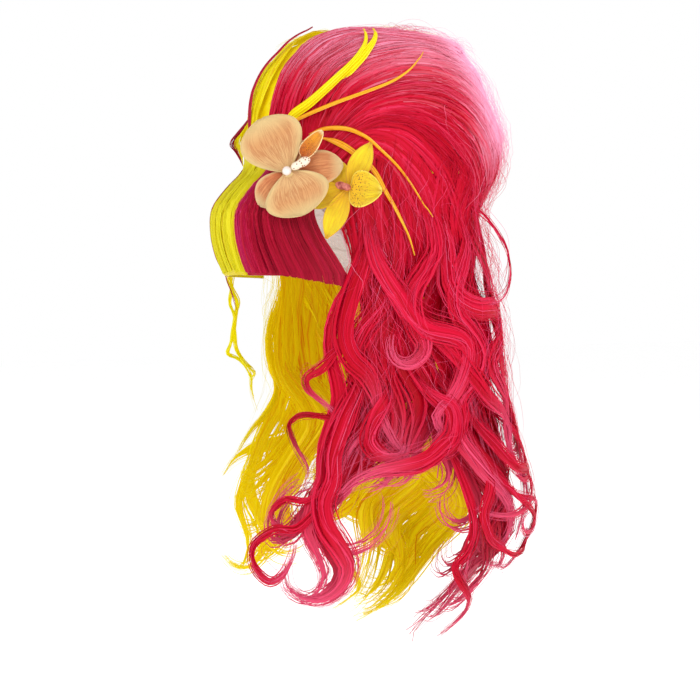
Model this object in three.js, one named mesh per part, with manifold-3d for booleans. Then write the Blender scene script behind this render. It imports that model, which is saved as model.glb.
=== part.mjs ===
// Long curly beehive wig, pink on the wearer's left and yellow on the right, with two cloth orchids.
// Millimetres, +Z up. The wearer faces -Y and the wearer's left is +X.
// The origin is the inside top of the cap, where the crown of the head sits.
import * as THREE from "three";
import { mergeVertices } from "three/addons/utils/BufferGeometryUtils.js";
import Module from "manifold-3d";

const wasm = await Module();
wasm.setup();

const PIECE_GAP = 0.3;
const FACET_GAP = 1.4;

// Head that the cap fits, as half sizes of an egg whose top is the origin.
const HEAD = new THREE.Vector3(76, 96, 100);
const CAP_WALL = 2;
const CAP = { sides: 26, rings: 5 };
const EGG = { sides: 28, rings: 14 };

// Outer form of the hair by height: half width, front and back reach, squareness of the plan.
const HAIR = [
  { z: -500, half: 112, front: -60, back: 128, square: 3 },
  { z: -450, half: 130, front: -118, back: 178, square: 3 },
  { z: -415, half: 140, front: -122, back: 206, square: 3 },
  { z: -372, half: 146, front: -112, back: 228, square: 3 },
  { z: -316, half: 140, front: -80, back: 217, square: 3 },
  { z: -243, half: 116, front: -46, back: 204, square: 3 },
  { z: -168, half: 112, front: -42, back: 195, square: 3 },
  { z: -81, half: 112, front: -42, back: 174, square: 2.8 },
  { z: -43, half: 110, front: -52, back: 172, square: 2.6 },
  { z: 2, half: 112, front: -74, back: 203, square: 2.4 },
  { z: 38, half: 113, front: -74, back: 211, square: 2.3 },
  { z: 81, half: 106, front: -65, back: 194, square: 2.3 },
  { z: 124, half: 86, front: -41, back: 172, square: 2.3 },
  { z: 149, half: 55, front: -11, back: 141, square: 2.3 },
  { z: 157, half: 30, front: 10, back: 95, square: 2.2 },
  { z: 160, half: 6, front: 30, back: 56, square: 2 },
];

// The two colours meet on an upright plane that leans from the left of the brow to the right of the nape.
const SPLIT_X = 10;
const SPLIT_SLOPE = 0.06;

const BEEHIVE = { bottom: 3, top: 160, rows: 10, crowding: 1.7, ridge: 2.2, swirl: 1.1 };
const CROWN = { bottom: -62, top: 2.7, rows: 2, crowding: 1, ridge: 1.5, swirl: 0.4 };
const CROWN_FACE = -30;
const COMB = { sides: 37, ridges: 11 };

// Rim of the cap by angle round the head: brow, temple, ear, nape.
const CAP_RIM = [
  { angle: 0, z: -30 },
  { angle: 60, z: -26 },
  { angle: 76, z: -52 },
  { angle: 96, z: -102 },
  { angle: 125, z: -106 },
  { angle: 180, z: -140 },
];

// Fringe by height: half width, reach in front of the head, thickness, and the angle of its near edge.
const FRINGE = [
  { z: -108, half: 84, reach: 103, thick: 4, near: 84 },
  { z: -86, half: 87, reach: 113, thick: 7, near: 77 },
  { z: -59, half: 88, reach: 119, thick: 9, near: 69 },
  { z: -37, half: 86, reach: 117, thick: 10, near: 66 },
  { z: -16, half: 81, reach: 100, thick: 11, near: 68 },
  { z: 2.4, half: 76, reach: 80, thick: 12, near: 72 },
];
const FRINGE_SQUARE = 2.4;
const FRINGE_SPLIT = 11;
const FRINGE_FAR = -80;
const FRINGE_PART = 0.1;
const FRINGE_STRIPS = { angle: 12.3, rows: 6, ridge: 0.9 };
const FRINGE_DROOP = 6;

// Hanging hair: a fluted, waving curtain at the root of each bunch, as angles round the head.
const CURTAIN = { top: -62.3, bottom: -236, thick: 13, hem: 9, rows: 4, step: 5 };
const FLUTE = { depth: 2, angle: 13.8 };
const CURTAIN_WAVE = { angle: 5, pitch: 128 };
const SCALLOP = { deep: 26, angle: 20 };
const BUNCHES = [
  { name: "left_front_curls", from: 54, to: 74, look: "pink", beside: null, pitch: 150 },
  { name: "left_side_curls", from: 74.2, to: 100, look: "pink", beside: 0, pitch: 128 },
  { name: "left_back_curls", from: 100.2, to: 179.99, look: "pink", beside: 1, pitch: 126 },
  { name: "right_back_curls", from: 180.01, to: 259.8, look: "yellow", beside: null, pitch: 126 },
  { name: "right_side_curls", from: 260, to: 285.8, look: "yellow", beside: 3, pitch: 128 },
  { name: "right_front_curls", from: 286, to: 306, look: "yellow", beside: 4, pitch: 146 },
];

// Curly locks below the curtain: each hangs from one bunch at an angle round the head and swings aside.
// Low is where its tail starts, and curl is how far the tail winds, negative towards the brow.
const LOCK_COLUMNS = ["bunch", "angle", "swing", "low", "wave", "phase", "half", "inset", "tail", "curl"];
const LOCKS = [
  [0, 58, -16, -352, 15, 250, 13, 12, 130, -290],
  [0, 64, -10, -410, 24, 306, 18, 16, 110, -170],
  [0, 70, -6, -320, 16, 330, 14, 28, 60, -120],
  [1, 81, 0, -294, 15, 350, 15, 4, 56, -100],
  [1, 86, 1, -284, 15, 20, 15, 6, 70, -110],
  [1, 91, 3, -300, 15, 40, 15, 14, 60, -100],
  [2, 112, 2, -372, 20, 50, 17, 16, 90, 200],
  [2, 128, 2, -420, 22, 90, 18, 18, 90, -130],
  [2, 145, 2, -440, 22, 120, 18, 18, 100, -110],
  [2, 163, 0, -405, 20, 150, 18, 18, 90, 170],
  [3, 197, 0, -440, 20, 210, 18, 18, 96, 100],
  [3, 218, -2, -420, 22, 240, 18, 18, 90, 120],
  [3, 236, -2, -396, 22, 270, 18, 18, 90, -150],
  [3, 253, -2, -360, 22, 300, 17, 16, 90, 180],
  [4, 269, -3, -300, 15, 350, 15, 14, 60, 100],
  [4, 274, -1, -290, 15, 20, 15, 15, 70, 110],
  [4, 280, -2, -320, 15, 50, 15, 14, 70, 110],
  [5, 290, -12, -350, 10, 60, 14, 34, 80, 120],
  [5, 298, -18, -384, 12, 90, 15, 38, 80, 130],
].map((row) => Object.fromEntries(LOCK_COLUMNS.map((column, i) => [column, row[i]])));
const LOCK = {
  sides: 5,
  root: -206,
  rootInset: 7,
  hangStep: 29,
  tailStep: 20,
  tipShare: 0.3,
  waveBy: 0.45,
  flatness: 0.72,
  seat: 0.6,
  fullAt: 0.25,
  thinsFrom: 0.55,
};

// Waxed strips of hair that fan out from behind the orchids: stations on the hair, angle and height.
const STRIPS = [
  {
    name: "yellow_strip",
    color: "yellow",
    half: 6,
    thick: 1.3,
    lift: 4,
    stations: [[23, 60], [34, 73], [46, 96], [55, 115], [60, 131], [61, 149]],
    prong: [[46, 96], [56, 113], [64, 131], [70, 150]],
  },
  {
    name: "orange_strand",
    color: "orange",
    half: 2,
    thick: 1.2,
    lift: 5,
    stations: [[27, 56], [47, 71], [64, 84], [76, 95], [85, 108], [93, 125]],
  },
  {
    name: "arc_strand",
    color: "orange",
    half: 2,
    thick: 1.2,
    lift: 5,
    stations: [[41, 45], [52, 45], [61, 37], [68, 25], [78, 5], [87, -22], [92, -46]],
  },
  {
    name: "falling_strand",
    color: "orange",
    half: 3,
    thick: 1.2,
    lift: 5,
    stations: [[47, 32], [55, 23], [66, 4], [72, -18], [78, -41], [82, -63], [84, -86]],
  },
  {
    name: "red_strip",
    color: "red",
    half: 4,
    thick: 1.3,
    lift: 5,
    stations: [[-8, 26], [-12, 60], [-15, 86], [-14, 108], [-9, 130], [-5, 147], [-4, 153]],
  },
];
const STRIP = { sides: 4, rings: 12, tipShare: 0.15, rootLift: -1, liftBy: 4 };

// Orchids: where the centre stands, which way it faces, and the petals by direction, length and half width.
const FLOWER_CLOTH = 0.9;
const FACING = 48;
const PEACH = { centre: new THREE.Vector3(76, -84.5, 0.5), tilt: 7 };
const PEACH_SEPALS = [
  { turn: 228, length: 46, half: 17, peak: 1.25, cup: 0.1, bend: -3 },
  { turn: 8, length: 57, half: 18, peak: 1.25, cup: 0.1, bend: -3 },
  { turn: 92, length: 44, half: 16, peak: 1.25, cup: 0.1, bend: -7 },
];
const PEACH_PETALS = [
  { turn: 118, length: 62, half: 34, peak: 1.35, cup: 0.14, bend: 4 },
  { turn: -66, length: 49, half: 35, peak: 1.2, cup: 0.14, bend: 4 },
];
const PEACH_LIP = { turn: 46, root: 21, length: 34, half: 8.5, peak: 0.7, cup: 0.55, bend: 12, base: 3 };
const PEACH_COLUMN = { turn: 28, reach: 16.1, size: new THREE.Vector3(11, 5.4, 4.6), lift: 5.9 };
const PEARL = { turn: 0, reach: 0, size: new THREE.Vector3(4.8, 4.8, 4.8), lift: 5.9 };
const YELLOW = { centre: new THREE.Vector3(110, -33, -16), tilt: 4 };
const YELLOW_PETALS = [
  { turn: 62, length: 52, half: 12, peak: 1.05, cup: 0.25, bend: 4 },
  { turn: 122, length: 36, half: 11, peak: 1.05, cup: 0.2, bend: -5 },
  { turn: 196, length: 54, half: 14, peak: 1.05, cup: 0.3, bend: -1 },
  { turn: 248, length: 57, half: 12, peak: 1.05, cup: 0.25, bend: 5 },
];
const YELLOW_LIP = { turn: -8, root: 3, length: 35, half: 19, peak: 0.62, cup: 0.35, bend: 12, base: 3 };
const YELLOW_FRILL = { deep: 2.6, folds: 5 };
const YELLOW_COLUMN = { turn: 165, reach: 4, size: new THREE.Vector3(8.5, 4.6, 4.6), lift: 6.4 };
const PETAL = { across: 4, along: 5, end: 0.12, fullness: 0.55 };
const BEAD = { sides: 10, rings: 5 };
// Heights of the hubs that join petals, and of the pins behind them, out of the flower's plane.
const SEPAL_HUB = { radius: 3, low: -3.4, high: -0.9, base: -2.6 };
const PEACH_HUB = { radius: 6, low: -0.55, high: 0.8 };
const YELLOW_HUB = { radius: 5, low: -0.5, high: 0.8 };
const PEACH_PIN = { radius: 1.2, low: -36, high: -3.7 };
const YELLOW_PIN = { radius: 1.2, low: -60, high: -0.8 };
const HUB_SIDES = 6;

const LOOKS = {
  cap: { color: 0xe4d6cc, roughness: 0.9 },
  pink: { color: 0xdc2650, roughness: 0.45 },
  red: { color: 0xa80f2c, roughness: 0.4 },
  yellow: { color: 0xe9d21f, roughness: 0.45 },
  orange: { color: 0xf0a824, roughness: 0.4 },
  peach: { color: 0xe8b481, roughness: 0.75 },
  sepal: { color: 0xe09a63, roughness: 0.75 },
  cream: { color: 0xf3e9d2, roughness: 0.6 },
  pearl: { color: 0xf6f1ea, roughness: 0.2 },
  petal: { color: 0xf4cc14, roughness: 0.7 },
  column: { color: 0xb8553f, roughness: 0.6 },
  pin: { color: 0x3d4a2c, roughness: 0.6 },
};

// Bends a closed shape: every corner goes where place puts it.
function warp(shape, place) {
  shape.deleteAttribute("normal");
  shape.deleteAttribute("uv");
  const merged = mergeVertices(shape, 1e-4);
  const corners = merged.attributes.position;
  const corner = new THREE.Vector3();
  for (let i = 0; i < corners.count; i += 1) {
    const moved = place(corner.fromBufferAttribute(corners, i).clone());
    corners.setXYZ(i, moved.x, moved.y, moved.z);
  }
  return merged;
}

function toSolid(geometry) {
  const bare = geometry.index ? geometry : mergeVertices(geometry, 1e-4);
  const index = bare.index.array;
  const faces = [];
  for (let i = 0; i < index.length; i += 3) {
    const [a, b, c] = [index[i], index[i + 1], index[i + 2]];
    if (a !== b && b !== c && c !== a) {
      faces.push(a, b, c);
    }
  }
  const vertProperties = Float32Array.from(bare.attributes.position.array);
  const mesh = new wasm.Mesh({ numProp: 3, vertProperties, triVerts: Uint32Array.from(faces) });
  return new wasm.Manifold(mesh);
}

function toGeometry(solid) {
  const mesh = solid.getMesh();
  const geometry = new THREE.BufferGeometry();
  geometry.setAttribute("position", new THREE.BufferAttribute(Float32Array.from(mesh.vertProperties), 3));
  geometry.setIndex(new THREE.BufferAttribute(Uint32Array.from(mesh.triVerts), 1));
  geometry.computeVertexNormals();
  return geometry;
}

function joined(solids) {
  return solids.reduce((whole, solid) => whole.add(solid));
}

// Reads a table between its rows, smoothly, by the column that orders it.
function reader(rows, by) {
  const columns = Object.keys(rows[0]).filter((key) => key !== by && typeof rows[0][key] === "number");
  const places = rows.map((row) => row[by]);
  const values = rows.flatMap((row) => columns.map((column) => row[column]));
  const curve = new THREE.CubicInterpolant(places, values, columns.length);
  return (at) => {
    const found = curve.evaluate(THREE.MathUtils.clamp(at, places[0], places[places.length - 1]));
    return Object.fromEntries(columns.map((column, i) => [column, found[i]]));
  };
}

const hairAt = reader(HAIR, "z");
const fringeAt = reader(FRINGE, "z");
const rimAt = reader(CAP_RIM, "angle");

function rounded(value, square) {
  return Math.sign(value) * Math.abs(value) ** (2 / square);
}

// A point of the hair's outer form, lifted outwards: angle 0 is the brow and 90 the wearer's left.
function outerPoint(angle, z) {
  const turn = THREE.MathUtils.degToRad(angle);
  const { half, front, back, square } = hairAt(z);
  const x = half * rounded(Math.sin(turn), square);
  const y = (front + back) / 2 - ((back - front) / 2) * rounded(Math.cos(turn), square);
  return new THREE.Vector3(x, y, z);
}

function outerNormal(angle, z) {
  const low = Math.max(z - 2, HAIR[0].z);
  const high = Math.min(z + 2, HAIR[HAIR.length - 1].z);
  const round = outerPoint(angle + 2, z).sub(outerPoint(angle - 2, z));
  const upward = outerPoint(angle, high).sub(outerPoint(angle, low));
  return round.cross(upward).normalize();
}

function outerLifted(angle, z, lift) {
  return outerPoint(angle, z).addScaledVector(outerNormal(angle, z), lift);
}

// A drum bent to the hair's outer form between two heights.
function hairDrum({ bottom, top, rows, crowding, ridge, swirl }, grow) {
  const drum = new THREE.CylinderGeometry(1, 1, 1, COMB.sides, rows).rotateX(Math.PI / 2);
  return warp(drum, (p) => {
    const climb = 1 - (0.5 - p.z) ** crowding;
    const z = THREE.MathUtils.lerp(bottom, top, climb);
    const turn = Math.atan2(p.x, -p.y);
    const angle = THREE.MathUtils.radToDeg(turn);
    const edge = outerPoint(angle, z);
    const comb = ridge * Math.cos(COMB.ridges * (turn + swirl * climb)) * (1 - climb ** 4);
    const outward = outerNormal(angle, z).setZ(0).normalize();
    const { front, back } = hairAt(z);
    const middle = new THREE.Vector3(0, (front + back) / 2, z);
    const onEdge = Math.hypot(p.x, p.y) > 0.5;
    return onEdge ? edge.addScaledVector(outward, comb + grow) : middle;
  });
}

function splitBox(side, clearance) {
  const size = 1200;
  const box = new THREE.BoxGeometry(size, size, size);
  box.translate(side * (size / 2 + clearance), 0, 0);
  box.rotateZ(Math.atan(SPLIT_SLOPE));
  box.translate(SPLIT_X, 0, 0);
  return toSolid(warp(box, (p) => p));
}

function browBox(clearance) {
  const size = 400;
  const box = new THREE.BoxGeometry(size, size, size).translate(0, CROWN_FACE - clearance - size / 2, 0);
  return toSolid(warp(box, (p) => p));
}

function headEgg(grow) {
  const egg = new THREE.SphereGeometry(1, EGG.sides, EGG.rings).rotateX(Math.PI / 2);
  return toSolid(warp(egg, (p) => {
    const size = HEAD.clone().addScalar(grow);
    return p.multiply(size).add(new THREE.Vector3(0, 0, -HEAD.z));
  }));
}

// Cap: a flat round blank, two layers, drawn down over the head to its rim.
function capSolid() {
  const steps = [...Array(CAP.rings + 1).keys()].map((i) => i / CAP.rings);
  const under = steps.map((r) => new THREE.Vector2(r, 0));
  const over = steps.map((r) => new THREE.Vector2(r, 1)).reverse();
  const blank = new THREE.LatheGeometry([...under, ...over], CAP.sides).rotateX(Math.PI / 2);
  return toSolid(warp(blank, (p) => {
    const reach = Math.hypot(p.x, p.y);
    const turn = Math.atan2(p.x, -p.y);
    const rim = rimAt(Math.abs(THREE.MathUtils.radToDeg(turn))).z;
    const drop = reach * Math.acos((rim + HEAD.z) / HEAD.z);
    const size = HEAD.clone().addScalar(p.z * CAP_WALL);
    const out = Math.sin(drop);
    const round = new THREE.Vector3(out * Math.sin(turn), -out * Math.cos(turn), Math.cos(drop));
    return round.multiply(size).add(new THREE.Vector3(0, 0, -HEAD.z));
  }));
}

// Fringe: a thick sheet of combed strips that bulges over the brow.
function fringeSolid(from, to, grow) {
  const strips = Math.ceil((to - from) / FRINGE_STRIPS.angle) * 2;
  const sheet = new THREE.BoxGeometry(1, 1, 1, strips, FRINGE_STRIPS.rows, 1);
  return toSolid(warp(sheet, (p) => {
    const z = THREE.MathUtils.lerp(FRINGE[0].z - grow, FRINGE[FRINGE.length - 1].z + grow, p.y + 0.5);
    const { half, reach, thick, near } = fringeAt(z);
    const share = p.x + 0.5;
    const angle = THREE.MathUtils.lerp(from - grow, (to > FRINGE_SPLIT ? near : to) + grow, share);
    const turn = THREE.MathUtils.degToRad(angle);
    const ridge = FRINGE_STRIPS.ridge * Math.cos(share * strips * Math.PI);
    const depth = (0.5 - p.z) * thick - ridge * (p.z + 0.5) - grow * Math.sign(p.z);
    const x = (half - depth) * rounded(Math.sin(turn), FRINGE_SQUARE);
    const y = -(reach - depth) * rounded(Math.cos(turn), FRINGE_SQUARE);
    const hem = z - FRINGE_DROOP * Math.max(0, angle / FRINGE_FAR) * (0.5 - p.y);
    return new THREE.Vector3(x, y, hem);
  }));
}

// Sweeps an oval section along points, kept flat against the outward direction at each.
function sweep(points, outwards, halfAt, thickAt, sides) {
  const rings = points.length - 1;
  const rod = new THREE.CylinderGeometry(1, 1, 1, sides, rings).rotateX(Math.PI / 2);
  const path = new THREE.CatmullRomCurve3(points);
  const tangents = points.map((_, i) => path.getTangent(i / rings));
  return toSolid(warp(rod, (p) => {
    const share = p.z + 0.5;
    const i = Math.round(share * rings);
    const side = outwards[i].clone().cross(tangents[i]).normalize();
    const outward = tangents[i].clone().cross(side).normalize();
    const place = points[i].clone().addScaledVector(side, p.x * halfAt(share));
    return place.addScaledVector(outward, p.y * thickAt(share));
  }));
}

// The route of a lock: it waves down from the curtain, then its tail winds up round the head to one side.
function lockRoute(lock) {
  const hang = LOCK.root - lock.low;
  const { pitch } = BUNCHES[lock.bunch];
  const hangRings = Math.round(hang / LOCK.hangStep);
  const tailRings = Math.round(lock.tail / LOCK.tailStep);
  const points = [];
  const outwards = [];
  const addRing = (angle, z, inset, wave, turn) => {
    const outward = outerNormal(angle, z).setZ(0).normalize();
    const sideways = new THREE.Vector3(-outward.y, outward.x, 0);
    const place = outerPoint(angle, z).addScaledVector(outward, -inset);
    place.addScaledVector(sideways, wave * Math.sin(turn));
    points.push(place.addScaledVector(outward, (wave * LOCK.flatness * (Math.cos(turn) - 1)) / 2));
    outwards.push(outward);
  };
  for (let i = 0; i <= hangRings; i += 1) {
    const share = i / hangRings;
    const settled = THREE.MathUtils.smoothstep(share, 0, LOCK.waveBy);
    const angle = lock.angle + lock.swing * settled;
    const inset = THREE.MathUtils.lerp(LOCK.rootInset, lock.inset, settled);
    const turn = ((share * hang) / pitch) * 2 * Math.PI + THREE.MathUtils.degToRad(lock.phase);
    addRing(angle, LOCK.root - share * hang, inset, lock.wave * settled, turn);
  }
  const lastTurn = (hang / pitch) * 2 * Math.PI + THREE.MathUtils.degToRad(lock.phase);
  let angle = lock.angle + lock.swing;
  let z = lock.low;
  for (let i = 1; i <= tailRings; i += 1) {
    const wound = THREE.MathUtils.degToRad(lock.curl) * ((i - 0.5) / tailRings);
    const degree = outerPoint(angle + 1, z).distanceTo(outerPoint(angle, z));
    angle += (Math.sin(wound) * lock.tail) / tailRings / degree;
    z -= (Math.cos(wound) * lock.tail) / tailRings;
    addRing(angle, z, lock.inset, lock.wave, lastTurn);
  }
  return { points, outwards };
}

function lockSolid(lock, grow) {
  const { points, outwards } = lockRoute(lock);
  const swell = (share) => {
    const filled = THREE.MathUtils.lerp(LOCK.seat, 1, THREE.MathUtils.smoothstep(share, 0, LOCK.fullAt));
    const thinned = THREE.MathUtils.smoothstep(share, LOCK.thinsFrom, 1);
    return lock.half * filled * THREE.MathUtils.lerp(1, LOCK.tipShare, thinned);
  };
  const thickAt = (share) => LOCK.flatness * swell(share) + grow;
  return sweep(points, outwards, (share) => swell(share) + grow, thickAt, LOCK.sides);
}

function curtainSolid(bunch, grow) {
  const steps = Math.ceil((bunch.to - bunch.from) / CURTAIN.step);
  const sheet = new THREE.BoxGeometry(1, 1, 1, steps, CURTAIN.rows, 1);
  return toSolid(warp(sheet, (p) => {
    const share = p.y + 0.5;
    const angle = THREE.MathUtils.lerp(bunch.from - grow, bunch.to + grow, p.x + 0.5);
    const rise = SCALLOP.deep * (0.5 + 0.5 * Math.cos((angle / SCALLOP.angle) * 2 * Math.PI));
    const z = THREE.MathUtils.lerp(CURTAIN.bottom + rise - grow, CURTAIN.top + grow, share);
    const thick = THREE.MathUtils.lerp(CURTAIN.hem, CURTAIN.thick, share);
    const outward = outerNormal(angle, z).setZ(0).normalize();
    const swung = angle - CURTAIN_WAVE.angle * Math.sin((z / CURTAIN_WAVE.pitch) * 2 * Math.PI);
    const flute = FLUTE.depth * (1 - Math.cos((swung / FLUTE.angle) * 2 * Math.PI)) * (p.z + 0.5);
    const depth = (0.5 - p.z) * thick + flute - grow * Math.sign(p.z);
    return outerPoint(angle, z).addScaledVector(outward, -depth);
  }));
}

function bunchSolid(number, grow) {
  const locks = LOCKS.filter((lock) => lock.bunch === number);
  return joined([curtainSolid(BUNCHES[number], grow), ...locks.map((lock) => lockSolid(lock, grow))]);
}

function stripPath(stations) {
  const flat = stations.map(([angle, z]) => new THREE.Vector3(angle, z, 0));
  return new THREE.CatmullRomCurve3(flat).getPoints(STRIP.rings);
}

function stripSolid(strip, stations) {
  const route = stripPath(stations);
  const liftAt = (i) => THREE.MathUtils.lerp(STRIP.rootLift, strip.lift, Math.min(1, i / STRIP.liftBy));
  const points = route.map((at, i) => outerLifted(at.x, Math.min(at.y, BEEHIVE.top), liftAt(i)));
  points.forEach((point, i) => point.setZ(point.z + Math.max(0, route[i].y - BEEHIVE.top)));
  const outwards = route.map((at) => outerNormal(at.x, at.y));
  const taper = (share) => THREE.MathUtils.lerp(1, STRIP.tipShare, share ** 2);
  return sweep(points, outwards, (s) => strip.half * taper(s), () => strip.thick, STRIP.sides);
}

// A petal in the flower's own plane: x to the right, y up, z out of the flower.
function petalSolid({ turn, length, half, peak, cup, bend, root = 0, base = 0, deep = 0, folds = 0 }) {
  const blank = new THREE.BoxGeometry(1, 1, 1, PETAL.across, PETAL.along, 1);
  return toSolid(warp(blank, (p) => {
    const along = p.y + 0.5;
    const swell = Math.sin(Math.PI * along ** peak) ** PETAL.fullness;
    const width = half * Math.max(swell, PETAL.end);
    const across = -p.x * 2 * width;
    const wavy = deep * Math.sin(p.x * folds * Math.PI) * along;
    const curved = bend * along ** 2 + cup * width * (p.x * 2) ** 2 + wavy;
    const height = base + curved + p.z * FLOWER_CLOTH;
    const place = new THREE.Vector3(root + along * length, across, height);
    return place.applyAxisAngle(new THREE.Vector3(0, 0, 1), THREE.MathUtils.degToRad(turn));
  }));
}

function discSolid({ radius, low, high }) {
  const disc = new THREE.CylinderGeometry(radius, radius, high - low, HUB_SIDES).rotateX(Math.PI / 2);
  return toSolid(warp(disc, (p) => p.setZ(p.z + (low + high) / 2)));
}

function beadSolid({ turn, reach, size, lift }, grow) {
  const bead = new THREE.SphereGeometry(1, BEAD.sides, BEAD.rings);
  const spin = THREE.MathUtils.degToRad(turn);
  return toSolid(warp(bead, (p) => {
    const place = p.multiply(size.clone().addScalar(grow)).add(new THREE.Vector3(reach, 0, lift));
    return place.applyAxisAngle(new THREE.Vector3(0, 0, 1), spin);
  }));
}

// Carries a solid from the flower's plane to its place on the wig.
function stand(solid, flower) {
  const pose = new THREE.Matrix4().makeTranslation(flower.centre);
  pose.multiply(new THREE.Matrix4().makeRotationZ(THREE.MathUtils.degToRad(FACING)));
  pose.multiply(new THREE.Matrix4().makeRotationX(THREE.MathUtils.degToRad(90 - flower.tilt)));
  return toSolid(warp(toGeometry(solid), (p) => p.applyMatrix4(pose)));
}

const group = new THREE.Group();

function addPiece(name, solid, look) {
  const material = new THREE.MeshStandardMaterial({ ...LOOKS[look], metalness: 0 });
  const mesh = new THREE.Mesh(toGeometry(solid), material);
  mesh.name = name;
  group.add(mesh);
}

// Cap.
addPiece("wig_cap", capSolid(), "cap");

// Crown hair round the cap, and the beehive over it, each in its two colours.
const browEgg = headEgg(CAP_WALL + FACET_GAP);
const crown = toSolid(hairDrum(CROWN, 0)).subtract(browEgg).subtract(browBox(0));
const crownRoom = toSolid(hairDrum(CROWN, PIECE_GAP)).subtract(browBox(PIECE_GAP));
const beehive = toSolid(hairDrum(BEEHIVE, 0));
addPiece("crown_hair_pink", crown.subtract(splitBox(-1, -PIECE_GAP / 2)), "pink");
addPiece("crown_hair_yellow", crown.subtract(splitBox(1, -PIECE_GAP / 2)), "yellow");
addPiece("beehive_pink", beehive.subtract(splitBox(-1, -PIECE_GAP / 2)), "pink");
addPiece("beehive_yellow", beehive.subtract(splitBox(1, -PIECE_GAP / 2)), "yellow");

// Fringe.
const fringeYellow = fringeSolid(FRINGE_FAR, FRINGE_SPLIT - FRINGE_PART, 0);
const fringePink = fringeSolid(FRINGE_SPLIT + FRINGE_PART, FRINGE[0].near, 0);
addPiece("fringe_pink", fringePink.subtract(browEgg).subtract(crownRoom), "pink");
addPiece("fringe_yellow", fringeYellow.subtract(browEgg).subtract(crownRoom), "yellow");

// Hanging curls, each bunch cut clear of the one beside it.
BUNCHES.forEach((bunch, number) => {
  const solid = bunchSolid(number, 0);
  const clear = bunch.beside === null ? solid : solid.subtract(bunchSolid(bunch.beside, PIECE_GAP));
  addPiece(bunch.name, clear, bunch.look);
});

// Waxed strips, seated on the hair at the root.
const hairUnder = toSolid(hairDrum(BEEHIVE, PIECE_GAP)).add(toSolid(hairDrum(CROWN, PIECE_GAP)));
STRIPS.forEach((strip) => {
  const arms = strip.prong ? [strip.stations, strip.prong] : [strip.stations];
  const solid = joined(arms.map((stations) => stripSolid(strip, stations)));
  addPiece(strip.name, solid.subtract(hairUnder), strip.color);
});

// Peach orchid.
const peachSepals = PEACH_SEPALS.map((row) => petalSolid({ ...row, base: SEPAL_HUB.base }));
addPiece("orchid_peach_sepals", stand(joined([discSolid(SEPAL_HUB), ...peachSepals]), PEACH), "sepal");
const peachPetals = PEACH_PETALS.map((row) => petalSolid(row));
addPiece("orchid_peach_petals", stand(joined([discSolid(PEACH_HUB), ...peachPetals]), PEACH), "peach");
const peachLip = petalSolid(PEACH_LIP).subtract(beadSolid(PEACH_COLUMN, PIECE_GAP));
addPiece("orchid_peach_lip", stand(peachLip, PEACH), "orange");
addPiece("orchid_peach_column", stand(beadSolid(PEACH_COLUMN, 0), PEACH), "cream");
addPiece("orchid_pearl", stand(beadSolid(PEARL, 0), PEACH), "pearl");
const fringeUnder = fringeSolid(FRINGE_SPLIT + FRINGE_PART, FRINGE[0].near, PIECE_GAP);
const peachPin = stand(discSolid(PEACH_PIN), PEACH).subtract(hairUnder).subtract(fringeUnder);
addPiece("orchid_peach_pin", peachPin, "pin");

// Yellow orchid.
const yellowPetals = YELLOW_PETALS.map((row) => petalSolid(row));
addPiece("orchid_yellow_petals", stand(joined([discSolid(YELLOW_HUB), ...yellowPetals]), YELLOW), "petal");
const frilled = petalSolid({ ...YELLOW_LIP, ...YELLOW_FRILL });
const yellowLip = frilled.subtract(beadSolid(YELLOW_COLUMN, PIECE_GAP));
addPiece("orchid_yellow_lip", stand(yellowLip, YELLOW), "petal");
addPiece("orchid_yellow_column", stand(beadSolid(YELLOW_COLUMN, 0), YELLOW), "column");
addPiece("orchid_yellow_pin", stand(discSolid(YELLOW_PIN), YELLOW).subtract(hairUnder), "pin");

export default group;
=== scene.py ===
"""Long curly beehive wig, pink on the wearer's left and yellow on the right, with two cloth orchids."""
import math

import bmesh
import bpy
import numpy as np
from mathutils import Matrix, Vector


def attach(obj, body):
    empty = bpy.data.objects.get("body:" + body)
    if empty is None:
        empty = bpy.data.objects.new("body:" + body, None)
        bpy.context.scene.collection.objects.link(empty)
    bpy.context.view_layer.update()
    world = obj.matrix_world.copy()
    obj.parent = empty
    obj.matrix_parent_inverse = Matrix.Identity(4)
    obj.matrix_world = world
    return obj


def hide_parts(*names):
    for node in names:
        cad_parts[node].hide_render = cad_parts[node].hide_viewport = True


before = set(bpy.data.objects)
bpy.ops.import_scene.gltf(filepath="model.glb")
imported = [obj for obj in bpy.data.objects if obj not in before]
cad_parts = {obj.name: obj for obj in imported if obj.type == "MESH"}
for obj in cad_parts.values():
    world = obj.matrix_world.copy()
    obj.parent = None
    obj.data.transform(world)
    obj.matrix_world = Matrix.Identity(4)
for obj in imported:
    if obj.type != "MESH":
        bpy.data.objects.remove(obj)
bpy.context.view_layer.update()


# Cap: a stretch net cap that grips the head, with rows of weft tape sewn round it to carry the hair.
# It is knotted nylon net, and a soft elastic tape is turned in and stitched along its rim.
class Socket:
    """A shader socket that takes part in sums."""

    def __init__(self, finish, out):
        self.finish = finish
        self.out = out

    def sum(self, operation, first, second):
        return self.finish.node("ShaderNodeMath", {"operation": operation}, {0: first, 1: second})

    def __add__(self, other):
        return self.sum("ADD", self, other)

    def __radd__(self, other):
        return self.sum("ADD", other, self)

    def __sub__(self, other):
        return self.sum("SUBTRACT", self, other)

    def __rsub__(self, other):
        return self.sum("SUBTRACT", other, self)

    def __mul__(self, other):
        return self.sum("MULTIPLY", self, other)

    def __rmul__(self, other):
        return self.sum("MULTIPLY", other, self)

    def __gt__(self, other):
        return self.sum("GREATER_THAN", self, other)

    def __abs__(self):
        return self.sum("ABSOLUTE", self, 0.0)


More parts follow.
